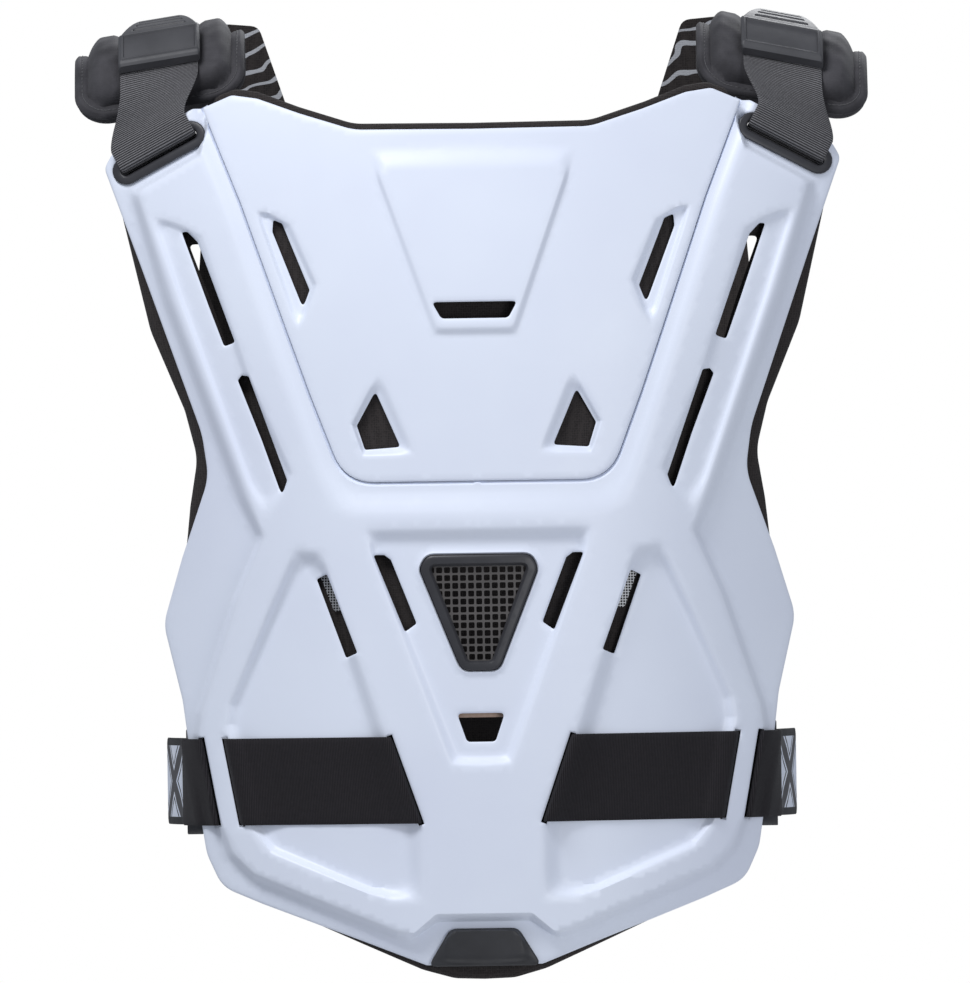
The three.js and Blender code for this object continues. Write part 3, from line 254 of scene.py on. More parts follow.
def pressed(
        name, edge, holes, folds, outer, inner, facing=-1, spacing=SHELL_SPACING, rounding=EDGE_ROUND,
        reaches=EDGE_LINES):
    """A pressed sheet from the half of its outline that lies right of the middle, from top to bottom: cut,
    mirrored, and given its outer and inner face. Cut edges are rounded over."""
    lines = [edge, *holes, *folds]
    solid = edge[0]

    def in_sheet(points):
        found = within(points, solid)
        for hole, _ in holes:
            found &= ~within(points, hole)
        return found

    for cut, closed in [edge, *holes]:
        for reach in reaches:
            for by in (reach, -reach):
                line = beside(cut, closed, by)
                if in_sheet(line).mean() > 0.5:
                    lines.append((line, closed))
    points, sides = [], []
    for line, closed in lines:
        start = len(points)
        points += list(line)
        sides += [(start + i, start + i + 1) for i in range(len(line) - 1)]
        if closed:
            sides.append((len(points) - 1, start))
    placed = np.array(points)
    low, high = solid[:, 1].min(), solid[:, 1].max()
    rows = np.arange(low, high, spacing * LATTICE["row"])
    columns = np.arange(spacing, solid[:, 0].max(), spacing)
    lattice = np.array([(x - (spacing / 2 if i % 2 else 0), z) for i, z in enumerate(rows) for x in columns])
    lattice = lattice[in_sheet(lattice)]
    taken = {}
    for k, (x, z) in enumerate(placed):
        taken.setdefault((int(x // spacing), int(z // spacing)), []).append(k)
    free = []
    for x, z in lattice:
        near = [k for i in (-1, 0, 1) for j in (-1, 0, 1)
                for k in taken.get((int(x // spacing) + i, int(z // spacing) + j), ())]
        if not near or np.min(np.hypot(placed[near, 0] - x, placed[near, 1] - z)) > LATTICE["clear"] * spacing:
            free.append((x, z))
    bottom, top = sorted((solid[0, 1], solid[-1, 1]))
    middle = [(0.0, z) for z in np.arange(bottom + spacing / 2, top, spacing)]
    on_middle = placed[placed[:, 0] < 1e-9]
    middle = [p for p in middle if min(abs(p[1] - q[1]) for q in on_middle) > LATTICE["middle"] * spacing]
    flat = [Vector(p) / MM for p in [*points, *free, *middle]]
    found, _, faces, *_ = geometry.delaunay_2d_cdt(flat, sides, [], 0, 1e-3)
    plan = np.array([tuple(p) for p in found]) * MM
    plan[np.abs(plan[:, 0]) < 2e-6, 0] = 0
    faces = np.array([f[:] for f in faces])
    faces = faces[in_sheet(plan[faces].mean(axis=1))]
    used = np.unique(faces)
    renumber = np.full(len(plan), -1)
    renumber[used] = np.arange(len(used))
    plan, faces = plan[used], renumber[faces]
    a, b, c = plan[faces[:, 0]], plan[faces[:, 1]], plan[faces[:, 2]]
    turned = (b[:, 0] - a[:, 0]) * (c[:, 1] - a[:, 1]) - (b[:, 1] - a[:, 1]) * (c[:, 0] - a[:, 0])
    faces[turned < 0] = faces[turned < 0][:, ::-1]
    faces = faces[np.abs(turned) > 1e-12]
    off_middle = np.flatnonzero(plan[:, 0] > 0)
    twin = np.arange(len(plan))
    twin[off_middle] = len(plan) + np.arange(len(off_middle))
    faces = np.vstack([faces, twin[faces][:, ::-1]])
    flipped = plan[off_middle] * (-1, 1)
    half = np.vstack([plan, plan[off_middle]])
    whole = np.vstack([plan, flipped])
    depth_outer, depth_inner = outer(half), inner(half)
    to_cut = np.min([away(half, line, closed) for line, closed in [edge, *holes]], axis=0)
    depth_outer = depth_outer - facing * rounding * (1 - np.clip(to_cut / reaches[-1], 0, 1)) ** 2
    n = len(whole)
    vertices = np.vstack([
        np.stack([whole[:, 0], depth, whole[:, 1]], axis=1) for depth in (depth_outer, depth_inner)])
    borders = {}
    for f in faces:
        for i, j in ((f[0], f[1]), (f[1], f[2]), (f[2], f[0])):
            if borders.pop((j, i), None) is None:
                borders[(i, j)] = True
    walls = [(j, i, i + n, j + n) for i, j in borders]
    all_faces = [tuple(f) for f in faces] + [tuple(f[::-1] + n) for f in faces] + walls
    if facing > 0:
        all_faces = [f[::-1] for f in all_faces]
    mesh = bpy.data.meshes.new(name)
    mesh.from_pydata(vertices.tolist(), [], [tuple(int(k) for k in f) for f in all_faces])
    piece = bpy.data.objects.new(name, mesh)
    bpy.context.collection.objects.link(piece)
    return piece


def smooth(piece, degrees=38):
    bpy.ops.object.select_all(action="DESELECT")
    piece.select_set(True)
    bpy.context.view_layer.objects.active = piece
    bpy.ops.object.shade_smooth_by_angle(angle=radians(degrees))
    piece.select_set(False)


def dressed(piece, material, slot, *nodes):
    """Gives a finished piece its material and its place in the frame."""
    piece.data.materials.clear()
    piece.data.materials.append(material)
    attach(piece, "root")
    if nodes:
        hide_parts(*nodes)
    return piece


def finish(name):
    """A new material, with its node tree's nodes and links and its shader."""
    material = bpy.data.materials.new(name)
    material.use_nodes = True
    tree = material.node_tree
    return material, tree, tree.nodes["Principled BSDF"]


def add_node(tree, kind, **values):
    node = tree.nodes.new(kind)
    for key, value in values.items():
        if key in node.inputs:
            node.inputs[key].default_value = value
        else:
            setattr(node, key, value)
    return node


def object_noise(tree, scale, detail=4.0, roughness=0.55):
    """Noise that lies still in the object's own space."""
    place = add_node(tree, "ShaderNodeTexCoord")
    noise = add_node(tree, "ShaderNodeTexNoise", Scale=scale, Detail=detail, Roughness=roughness)
    tree.links.new(place.outputs["Object"], noise.inputs["Vector"])
    return noise.outputs["Fac"]


def blended(tree, factor, low, high):
    """A colour between two, by a factor."""
    ramp = add_node(tree, "ShaderNodeValToRGB")
    ramp.color_ramp.elements[0].color = low
    ramp.color_ramp.elements[1].color = high
    tree.links.new(factor, ramp.inputs["Fac"])
    return ramp


def ranged(tree, factor, low, high, start=0.0):
    """A factor that runs from its start to 1, moved to run from low to high."""
    span = add_node(tree, "ShaderNodeMapRange")
    span.inputs["From Min"].default_value = start
    span.inputs["To Min"].default_value = low
    span.inputs["To Max"].default_value = high
    tree.links.new(factor, span.inputs["Value"])
    return span.outputs["Result"]


def roughened(tree, shader, heights):
    """Bump from heights, each with its own depth in metres, the coarser under the finer."""
    normal = None
    for height, depth, strength in heights:
        bump = add_node(tree, "ShaderNodeBump", Strength=strength, Distance=depth)
        tree.links.new(height, bump.inputs["Height"])
        if normal:
            tree.links.new(normal, bump.inputs["Normal"])
        normal = bump.outputs["Normal"]
    tree.links.new(normal, shader.inputs["Normal"])


def moulded_plastic():
    """Satin white polypropylene: a fine mould grain, a slow unevenness of the sheet and faint scuffs."""
    material, tree, shader = finish("white_polypropylene")
    cloudy = object_noise(tree, 9, detail=3)
    tint = blended(tree, cloudy, SHELL_SHADE, SHELL_WHITE)
    tint.color_ramp.elements[0].position = 0.3
    tint.color_ramp.elements[1].position = 0.62
    tree.links.new(tint.outputs["Color"], shader.inputs["Base Color"])
    scuffs = object_noise(tree, 140, detail=6, roughness=0.7)
    tree.links.new(ranged(tree, scuffs, 0.36, 0.5), shader.inputs["Roughness"])
    grain = object_noise(tree, 2600, detail=2)
    roughened(tree, shader, [(object_noise(tree, 22, detail=2), 0.5 * MM, 0.25), (grain, 0.04 * MM, 0.35)])
    shader.inputs["Specular IOR Level"].default_value = 0.42
    shader.inputs["Coat Weight"].default_value = 0.06
    shader.inputs["Coat Roughness"].default_value = 0.3
    return material


def strap_slot(radius, ends=RING_ENDS, turns=10):
    """The round-ended slot in a shoulder tip, slanted like the strap's ring."""
    a, b = (np.array((across(x), level(z))) for x, z in ends)
    angle = np.arctan2(*(b - a)[::-1])
    points = []
    for centre, start in ((b, angle - pi / 2), (a, angle + pi / 2)):
        for s in range(turns + 1):
            turn = start + pi * s / turns
            points.append(centre + radius * np.array((cos(turn), sin(turn))))
    return divided([np.array(points)], True)[0], True


def strap_slit(top, bottom):
    """A slanted slit for the elastic, a little longer than the band is wide."""
    high = np.array((across(top), level(SLIT_TOP)))
    low = np.array((across(bottom), level(SLIT_BOTTOM)))
    along = (high - low) / np.linalg.norm(high - low)
    out = np.array((-along[1], along[0])) * SLIT_WIDTH / 2
    high, low = high + along * across(SLIT_OVERRUN), low - along * across(SLIT_OVERRUN)
    return divided([np.array([high - out, high + out, low + out, low - out])], True)[0], True


body, shelf, seat = slope(BODY), slope(SHELF, True), slope(SEAT)
lower_panel, vee_panel = slope(LOWER_PANEL, True), slope(VEE_PANEL)
seam = seat["head"]
ledge_slope = {"foot": seam, "head": beside(seam, False, LEDGE_WALL), "closed": False}
ledge_root = {"foot": beside(seam, False, -SHELL_WALL), "head": seam, "closed": False}
vent_hole = beside(outline(VENT_EDGE)[0], False, -FIT_GAP)


def shell_form(points):
    """The shell's relief over the chest, ahead of the ledge."""
    collar = away(points, vent_hole, False)
    past = (collar - COLLAR["near"]) / (COLLAR["far"] - COLLAR["near"])
    bead = eased(collar / COLLAR["near"]) * (1 - eased(past))
    return (
        BODY_RISE * raised(body, points) - SHELF_SINK * raised(shelf, points) - SEAT_SINK * raised(seat, points)
        - LOWER_PANEL_SINK * raised(lower_panel, points) - VEE_PANEL_SINK * raised(vee_panel, points)
        + COLLAR["rise"] * bead)


ledge_edge = beside(outline(PLATE_EDGE[PLATE_NECK_ROWS:])[0], False, LEDGE_WIDTH)[::-1]
shell_outline = np.vstack([ledge_edge, outline(SHELL_EDGE)[0]])
shell_cuts = [outline(rows, True) for rows in (SIDE_UPPER_SLOT, SIDE_LOWER_SLOT, PANEL_SIDE_SLOT, VEE_SIDE_SLOT)]
shell_cuts += [outline(LOW_SLOT), (vent_hole, False), strap_slot(RING_RADIUS + FIT_GAP)]
shell_cuts += [strap_slit(top, bottom) for top, bottom in SLITS]
shell_folds = [line for form in (body, shelf, seat, lower_panel, vee_panel) for line in slope_lines(form)]
shell_folds += [(ledge_slope["head"], False), (beside(vent_hole, False, -COLLAR["near"]), False),
                (beside(vent_hole, False, -COLLAR["far"]), False)]
front_shell = pressed(
    "front_shell_moulding", (shell_outline, False), shell_cuts, shell_folds,
    lambda p: chest(p[:, 0], p[:, 1]) - shell_form(p) + LEDGE_SINK * raised(ledge_slope, p),
    lambda p: chest(p[:, 0], p[:, 1]) - shell_form(p) + LEDGE_SINK * raised(ledge_root, p) + SHELL_WALL)
smooth(front_shell)
white_plastic = moulded_plastic()
dressed(front_shell, white_plastic, "shell", "front_shell")

# Chest plate
# A second white moulding of the same sheet, flush in its seat with a fine seam round it. A raised middle panel
# carries a breathing slot, and two scoops and two diamond vents are sunk into it.
SEAM_GAP = 0.7 * MM
CHEST_PANEL_RISE, SCOOP_SINK = 2.6 * MM, 3.4 * MM
CHEST_PANEL = [(0, 350, 0, 322, 0), (108, 346, 93, 322, 8), (43, 155, 36, 166, 6), (0, 155, 0, 166, 0)]
SCOOP = [
    (222, 289, 210, 280, 3), (196, 280, 199, 271, 6), (181, 272, 188, 263, 6), (155, 209, 163, 208, 8),
    (174, 160, 173, 180, 3), (183, 172, 177, 184, 3), (217, 275, 206, 266, 3)]
DIAMOND = [(96, 128, 100.4, 102, 3), (127, 69, 119.5, 67.7, 3), (115, 36, 111.8, 43.3, 3), (58, 36, 76.2, 45.7, 3)]
SCOOP_SLOT = [(200, 275, 2), (191, 271, 4), (164.5, 204, 4), (171.5, 186, 3), (201, 263, 6)]
MIDDLE_SLOT = [(0, 189.8, 0), (42.7, 189.8, 3), (33.5, 173.2, 6), (0, 173.2, 0)]
chest_panel, scoop, diamond = slope(CHEST_PANEL), slope(SCOOP, True), slope(DIAMOND, True)


def plate_face(points):
    form = (
        BODY_RISE - SEAT_SINK + CHEST_PANEL_RISE * raised(chest_panel, points)
        - SCOOP_SINK * (raised(scoop, points) + raised(diamond, points)))
    return chest(points[:, 0], points[:, 1]) - form


plate_outline = beside(outline(PLATE_EDGE)[0], False, SEAM_GAP)
chest_plate = pressed(
    "chest_plate_moulding", (plate_outline, False),
    [outline(SCOOP_SLOT, True), outline(MIDDLE_SLOT), (diamond["head"], True)],
    [line for form in (chest_panel, scoop, diamond) for line in slope_lines(form)],
    plate_face, lambda p: plate_face(p) + SHELL_WALL, spacing=2.8 * MM)
smooth(chest_plate)
dressed(chest_plate, white_plastic, "shell", "chest_plate")

# Vent
# A black nylon frame with a bevelled inner edge, let into the V panel, which holds a moulded mesh of small
# rounded eyes behind it.
VENT_OPENING = [(0, -74.3, 0), (48.4, -74.3, 4), (11.7, -169, 4), (0, -169, 0)]
VENT_PROUD, VENT_DEPTH, VENT_BEVEL = 1.8 * MM, 7 * MM, 1.6 * MM
VENT_LEVEL = BODY_RISE - VEE_PANEL_SINK + VENT_PROUD
EYE_PITCH, EYE_BAR, MESH_THICKNESS = 4.35 * MM, 1.1 * MM, 1.2 * MM
EYE_ROUND, LEAST_EYE = 0.55, 0.3
opening = outline(VENT_OPENING)[0]


def vent_face(points):
    bevel = VENT_BEVEL * (1 - np.clip(away(points, opening, False) / VENT_BEVEL, 0, 1))
    return chest(points[:, 0], points[:, 1]) - VENT_LEVEL + bevel


def moulded_nylon(name, dark, light, roughness):
    """Black moulded nylon or rubber: a fine mould grain and a slow unevenness."""
    material, tree, shader = finish(name)
    tint = blended(tree, object_noise(tree, 60, detail=5), dark, light)
    tree.links.new(tint.outputs["Color"], shader.inputs["Base Color"])
    rough = ranged(tree, object_noise(tree, 220, detail=4), roughness - 0.07, roughness + 0.07)
    tree.links.new(rough, shader.inputs["Roughness"])
    roughened(tree, shader, [(object_noise(tree, 1800, detail=3), 0.08 * MM, 0.5)])
    return material


black_nylon = moulded_nylon("black_nylon", (0.022, 0.022, 0.026, 1), (0.045, 0.045, 0.052, 1), 0.42)
vent_frame = pressed(
    "vent_frame_moulding", outline(VENT_EDGE), [(opening, False)], [(beside(opening, False, -VENT_BEVEL), False)],
    vent_face, on_chest(VENT_DEPTH - VENT_LEVEL), spacing=2.4 * MM)
smooth(vent_frame)
dressed(vent_frame, black_nylon, "trim", "vent_frame")


def eyed_mesh(name, middle, size, pitch, bar, thickness, sides, place):
    """A flat mesh of rounded eyes, trimmed by planes, given its thickness and then laid on its curve."""
    columns, rows = (int(np.ceil(length / pitch)) for length in size)
    bpy.ops.mesh.primitive_grid_add(x_subdivisions=columns, y_subdivisions=rows, size=1)
    piece = bpy.context.object
    piece.name = piece.data.name = name
    for v in piece.data.vertices:
        v.co = (middle[0] + v.co.x * columns * pitch, middle[1] + v.co.y * rows * pitch, 0)
    bpy.ops.object.mode_set(mode="EDIT")
    bpy.ops.mesh.select_all(action="SELECT")
    bpy.ops.mesh.inset(thickness=bar / 2, use_individual=True, use_boundary=True)
    bpy.ops.mesh.bevel(offset=bar * EYE_ROUND, segments=2, affect="VERTICES")
    bpy.ops.object.mode_set(mode="OBJECT")
    sheet = bmesh.new()
    sheet.from_mesh(piece.data)
    eyes = [f for f in sheet.faces if f.calc_area() > LEAST_EYE * (pitch - bar) ** 2]
    bmesh.ops.delete(sheet, geom=eyes, context="FACES")
    for point, normal in sides:
        everything = sheet.verts[:] + sheet.edges[:] + sheet.faces[:]
        bmesh.ops.bisect_plane(sheet, geom=everything, plane_co=point, plane_no=normal, clear_outer=True)
    bmesh.ops.remove_doubles(sheet, verts=sheet.verts[:], dist=0.02 * MM)
    sheet.to_mesh(piece.data)
    sheet.free()
    wall = piece.modifiers.new("wall", "SOLIDIFY")
    wall.thickness = thickness
    wall.offset = 0
    bpy.ops.object.modifier_apply(modifier="wall")
    for v in piece.data.vertices:
        v.co = place(v.co.x, v.co.y, v.co.z)
    smooth(piece)
    return piece


def trimmed_by(line):
    """Planes along the straight sides of a half outline and its mirror image."""
    planes = []
    for a, b in zip(line[:-1], line[1:]):
        out = Vector((a[1] - b[1], b[0] - a[0], 0)).normalized()
        planes += [(Vector((*a, 0)), out), (Vector((-a[0], a[1], 0)), Vector((-out.x, out.y, 0)))]
    return planes


vent_sides = [np.array((across(x), level(z))) for x, z, _ in VENT_OPENING]
vent_low, vent_high = vent_sides[-1][1], vent_sides[0][1]
vent_mesh = eyed_mesh(
    "vent_mesh_moulding", (0, (vent_low + vent_high) / 2), (2 * vent_sides[1][0], vent_high - vent_low),
    EYE_PITCH, EYE_BAR, MESH_THICKNESS, trimmed_by(vent_sides),
    lambda x, z, out: (x, float(chest(x, z)) - VENT_LEVEL + VENT_DEPTH / 2 + out, z))
mesh_nylon = moulded_nylon("vent_mesh_nylon", (0.05, 0.046, 0.044, 1), (0.11, 0.1, 0.098, 1), 0.5)
dressed(vent_mesh, mesh_nylon, "mesh", "vent_mesh")

# Silver net
# A fine silver net, woven with square eyes, is glued behind the upper end of the slot in each lower panel and
# shows through it.
NET_PITCH, NET_BAR, NET_THICKNESS = 1.5 * MM, 0.42 * MM, 0.3 * MM
NET_SIZE, NET_BEHIND = (30 * MM, 26 * MM), 1.2 * MM
NET_CORNERS = [(160, -78), (148, -76), (132, -116), (145, -118)]
NET_DEPTH = SHELL_WALL - (BODY_RISE - LOWER_PANEL_SINK) + NET_BEHIND
SIDES = (("left", -1), ("right", 1))
silver, silver_tree, silver_shader = finish("silver_net")
silver_tint = blended(silver_tree, object_noise(silver_tree, 300), (0.32, 0.33, 0.35, 1), (0.58, 0.59, 0.6, 1))
silver_tree.links.new(silver_tint.outputs["Color"], silver_shader.inputs["Base Color"])
silver_shader.inputs["Metallic"].default_value = 0.6
silver_shader.inputs["Roughness"].default_value = 0.4
for name, side in SIDES:
    places = [np.array((side * across(x), level(z))) for x, z in NET_CORNERS]
    centre = np.mean(places, axis=0)
    planes = []
    for a, b in zip(places, places[1:] + places[:1]):
        out = Vector((b[1] - a[1], a[0] - b[0], 0)).normalized()
        out *= 1 if out.to_2d() @ Vector(centre - a) < 0 else -1
        planes.append((Vector((*a, 0)), out))
    net = eyed_mesh(
        "silver_net_" + name, centre, NET_SIZE, NET_PITCH, NET_BAR, NET_THICKNESS, planes,
        lambda x, z, out: (x, float(chest(x, z)) + NET_DEPTH + out, z))
    dressed(net, silver, "mesh")

# Lower badge
# A moulded rubber badge on the shell's bottom lip: a trapezium whose bare face stands up between sloping sides,
# over a shaded lower lip.
BADGE_EDGE = [(0, -437, 0), (34, -437, 12), (57, -475, 5), (0, -475, 0)]
BADGE_FACE = [
    (0, -437.6, 0, -440, 0), (33, -437.6, 28, -440, 6), (45, -456, 37, -447, 5), (54, -471, 37, -466, 4),
    (0, -474.5, 0, -466, 0)]
BADGE_THICKNESS, BADGE_FACE_RISE, CLOTH_GAP = 4 * MM, 2 * MM, 0.75 * MM
badge_face = slope(BADGE_FACE)


def badge_front(points):
    form = BADGE_THICKNESS + CLOTH_GAP - BADGE_FACE_RISE * (1 - raised(badge_face, points))
    return chest(points[:, 0], points[:, 1]) - form


black_rubber = moulded_nylon("black_rubber", (0.016, 0.016, 0.018, 1), (0.04, 0.04, 0.045, 1), 0.5)
badge = pressed(
    "lower_badge_moulding", outline(BADGE_EDGE), [], slope_lines(badge_face), badge_front, on_chest(-CLOTH_GAP),
    spacing=2 * MM)
smooth(badge)
dressed(badge, black_rubber, "rubber", "lower_badge")

# Front liner
# Closed foam faced with black spacer cloth, its edge turned over and bound. It stands out past the shell at the
# neck, the sides and the bottom, and has windows behind the side slots, the vent and the low slot.
LINER_GAP, LINER_WALL, WINDOW_MARGIN = 0.9 * MM, 6 * MM, 2.5 * MM
LINER_EDGE = [
    (0, 369, 0), (118, 370, 60), (173, 388, 30), (214, 404, 30), (236, 407, 12), (258, 399, 10), (256, 340, 12),
    (300, 316, 12), (354, 292, 10), (325, 166, 80), (292, 86, 60), (280, 38, 60), (288, -10, 60),
    (300, -120, 40), (290, -215, 10), (254, -236, 10), (238, -342, 20), (228, -376, 50), (189, -421, 60),
    (118, -453, 60), (62, -478, 60), (30, -487, 40), (0, -488, 0)]
SIDE_WINDOW = [(285, 252, 4), (270, 252, 4), (233, 150, 4), (247, 144, 4), (262, 190, 20)]
FOAM_SPACING, FOAM_ROUND, FOAM_LINES = 6 * MM, 2.2 * MM, (1 * MM, 3.2 * MM)
# The first cloth colour is painted shade inside the holes, and the second is the cloth's own ground.
CLOTH_HOLE_SHADE, CLOTH_LIGHT = (0.012, 0.0105, 0.011, 1), (0.036, 0.031, 0.03, 1)


def spacer_cloth(name):
    """Black spacer cloth: a fine close-set grid of holes, painted darker inside as painted shade, over a soft ground,
    with lint.
    """
    material, tree, shader = finish(name)
    place = add_node(tree, "ShaderNodeTexCoord")
    holes = add_node(tree, "ShaderNodeTexVoronoi", Scale=780, Randomness=0.35)
    tree.links.new(place.outputs["Object"], holes.inputs["Vector"])
    # Painted shade: the colour darkens towards the middle of each hole.
    tint = blended(tree, holes.outputs["Distance"], CLOTH_HOLE_SHADE, CLOTH_LIGHT)
    tint.color_ramp.elements[1].position = 0.6
    tree.links.new(tint.outputs["Color"], shader.inputs["Base Color"])
    lint = object_noise(tree, 90, detail=4)
    roughened(tree, shader, [(lint, 0.6 * MM, 0.4), (holes.outputs["Distance"], 0.35 * MM, 0.7)])
    shader.inputs["Roughness"].default_value = 0.9
    shader.inputs["Specular IOR Level"].default_value = 0.15
    shader.inputs["Sheen Weight"].default_value = 0.05
    shader.inputs["Sheen Roughness"].default_value = 0.6
    return material


liner_front = SHELL_WALL + LINER_GAP
front_liner = pressed(
    "front_liner_foam", outline(LINER_EDGE),
    [outline(SIDE_WINDOW, True), (beside(outline(VENT_EDGE)[0], False, -WINDOW_MARGIN), False),
     (beside(outline(LOW_SLOT)[0], False, -WINDOW_MARGIN), False)],
    [], on_chest(liner_front), on_chest(liner_front + LINER_WALL), spacing=FOAM_SPACING, rounding=FOAM_ROUND,
    reaches=FOAM_LINES)
smooth(front_liner, 50)
dressed(front_liner, spacer_cloth("black_spacer_cloth"), "foam", "front_liner")

# Window binding
# A strip of brown woven tape binds the upper edge of the liner's window behind the low slot, and shows as a thin
# line at the top of the slot.
BINDING_EDGE = [(0, -212, 0), (29, -212, 2), (25, -225.8, 2), (0, -225.8, 0)]
BINDING_PROUD, BINDING_ROUND = 0.5 * MM, 0.1 * MM
binding = pressed(
    "window_binding", outline(BINDING_EDGE), [], [], on_chest(liner_front - BINDING_PROUD), on_chest(liner_front),
    spacing=2 * MM, rounding=BINDING_ROUND)
smooth(binding)
tape, tape_tree, tape_shader = finish("brown_tape")
tape_tint = blended(tape_tree, object_noise(tape_tree, 500), (0.4, 0.28, 0.21, 1), (0.6, 0.44, 0.36, 1))
tape_tree.links.new(tape_tint.outputs["Color"], tape_shader.inputs["Base Color"])
roughened(tape_tree, tape_shader, [(object_noise(tape_tree, 1500), 0.1 * MM, 0.5)])
tape_shader.inputs["Roughness"].default_value = 0.8
dressed(binding, tape, "foam")

# Back shell and liner
# A second white pressing over the shoulder blades, with a raised body, a spine and four slots, and a foam liner
# whose patterned wings rise beside the neck.
BACK = {"reach": 106 * MM, "crown": 180, "above": 4e-7, "below": 3.3e-7, "sweep": 32 * MM}
SPINE_RISE = 4 * MM
BACK_EDGE = [
    (0, 318, 0), (95, 322, 50), (190, 366, 40), (262, 366, 12), (352, 318, 14), (346, 274, 12), (286, 302, 10),
    (272, 264, 20), (276, 214, 20), (290, 176, 30), (276, 100, 60), (252, 40, 60), (252, -60, 70),
    (290, -170, 50), (286, -340, 40), (196, -396, 60), (0, -415, 0)]
BACK_BODY = [
    (0, 296, 0, 284, 0), (104, 300, 108, 288, 40), (182, 334, 186, 320, 30), (250, 318, 238, 304, 12),
    (248, 196, 236, 196, 60), (226, 40, 212, 40, 80), (226, -62, 212, -62, 60), (262, -170, 248, -170, 40),
    (256, -322, 242, -316, 30), (186, -372, 180, -358, 40), (0, -388, 0, -374, 0)]
SPINE = [
    (0, 262, 0, 246, 0), (66, 258, 54, 244, 12), (40, 60, 28, 60, 40), (40, -40, 28, -40, 40),
    (62, -310, 50, -298, 12), (0, -322, 0, -306, 0)]
BLADE_SLOT = [(222, 240, 4), (202, 248, 4), (146, 92, 4), (162, 84, 4)]
FLANK_SLOT = [(176, -104, 4), (160, -98, 4), (176, -250, 4), (198, -244, 4)]
BACK_LINER_EDGE = [
    (0, 328, 0), (110, 334, 50), (180, 372, 24), (214, 474, 12), (262, 478, 10), (254, 372, 30),
    (250, 320, 30), (275, 262, 30), (279, 214, 20), (290, 172, 30), (272, 100, 60), (262, 38, 60),
    (262, -62, 70), (300, -172, 50), (250, -236, 10), (244, -338, 60), (190, -404, 90), (60, -424, 60),
    (0, -426, 0)]
BACK_RING_ENDS = [(342, 300), (276, 334)]
WING_FOOT = float(level(372))
WING_PRINT, PRINT_SLANT, PRINT_FROM = (0.42, 0.43, 0.46, 1), radians(24), 0.86


def back(x, z):
    """Where the back's own curve lies, in Y."""
    up = steps_up(z)
    fall = np.where(up > BACK["crown"], BACK["above"], BACK["below"])
    return BACK["reach"] * (1 - fall * (up - BACK["crown"]) ** 2) - BACK["sweep"] * bowed(x)


back_body, spine = slope(BACK_BODY), slope(SPINE)


def back_face(points):
    form = BODY_RISE * raised(back_body, points) + SPINE_RISE * raised(spine, points)
    return back(points[:, 0], points[:, 1]) + form


back_shell = pressed(
    "back_shell_moulding", outline(BACK_EDGE),
    [outline(BLADE_SLOT, True), outline(FLANK_SLOT, True), strap_slot(RING_RADIUS + FIT_GAP, BACK_RING_ENDS)],
    [line for form in (back_body, spine) for line in slope_lines(form)],
    back_face, lambda p: back_face(p) - SHELL_WALL, facing=1, spacing=4 * MM)
smooth(back_shell)
dressed(back_shell, white_plastic, "shell", "back_shell")


def math_node(tree, operation, first, second=None):
    """The result of a sum on one or two values, each a number or a node's output."""
    node = add_node(tree, "ShaderNodeMath", operation=operation)
    for socket, value in zip(node.inputs, (first, second)):
        if isinstance(value, (int, float)):
            socket.default_value = value
        elif value is not None:
            tree.links.new(value, socket)
    return node.outputs["Value"]


def yoke_cloth():
    """The liner's cloth, with pale wavy bars printed on the wings above the neckline."""
    material = spacer_cloth("back_liner_cloth")
    tree = material.node_tree
    shader = tree.nodes["Principled BSDF"]
    plain = shader.inputs["Base Color"].links[0].from_socket
    place = add_node(tree, "ShaderNodeTexCoord")
    turn = add_node(tree, "ShaderNodeMapping")
    turn.inputs["Rotation"].default_value = (0, PRINT_SLANT, 0)
    bars = add_node(tree, "ShaderNodeTexWave", Scale=34, Distortion=9, Detail=2)
    bars.bands_direction = "Z"
    tree.links.new(place.outputs["Object"], turn.inputs["Vector"])
    tree.links.new(turn.outputs["Vector"], bars.inputs["Vector"])
    lines = add_node(tree, "ShaderNodeValToRGB")
    lines.color_ramp.interpolation = "CONSTANT"
    lines.color_ramp.elements[1].position = PRINT_FROM
    tree.links.new(bars.outputs["Fac"], lines.inputs["Fac"])
    split = add_node(tree, "ShaderNodeSeparateXYZ")
    tree.links.new(place.outputs["Object"], split.inputs["Vector"])
    above = math_node(tree, "GREATER_THAN", split.outputs["Z"], WING_FOOT)
    printed = math_node(tree, "MULTIPLY", lines.outputs["Color"], above)
    mix = add_node(tree, "ShaderNodeMix", data_type="RGBA")
    tree.links.new(printed, mix.inputs["Factor"])
    tree.links.new(plain, mix.inputs[6])
    mix.inputs[7].default_value = WING_PRINT
    tree.links.new(mix.outputs[2], shader.inputs["Base Color"])
    return material


back_liner = pressed(
    "back_liner_foam", outline(BACK_LINER_EDGE), [], [],
    lambda p: back(p[:, 0], p[:, 1]) - liner_front, lambda p: back(p[:, 0], p[:, 1]) - liner_front - LINER_WALL,
    facing=1, spacing=FOAM_SPACING, rounding=FOAM_ROUND, reaches=FOAM_LINES)
smooth(back_liner, 50)
dressed(back_liner, yoke_cloth(), "foam", "back_liner")

# Strap rings
# Black nylon rings with rounded lips, snapped into the slanted slots of both shells, so that the webbing doesn't
# chafe on the cut edge.
RING_BAR, RING_DEPTH, RING_PROUD = 4.2 * MM, 7 * MM, 2 * MM
RING_SECTION = [
    (0, 0.75), (-0.16, 0.75), (-0.17, 0.88), (-0.08, 0.96), (0.1, 1), (0.68, 1), (0.88, 0.95), (1, 0.8), (1, 0.1),
    (0.9, 0), (0.1, 0), (0, 0.1)]


def inward(line):
    """The inward direction at each point of a closed line that runs anticlockwise."""
    run = np.roll(line, -1, axis=0) - np.roll(line, 1, axis=0)
    run /= np.linalg.norm(run, axis=1)[:, None]
    return np.stack([-run[:, 1], run[:, 0]], axis=1)


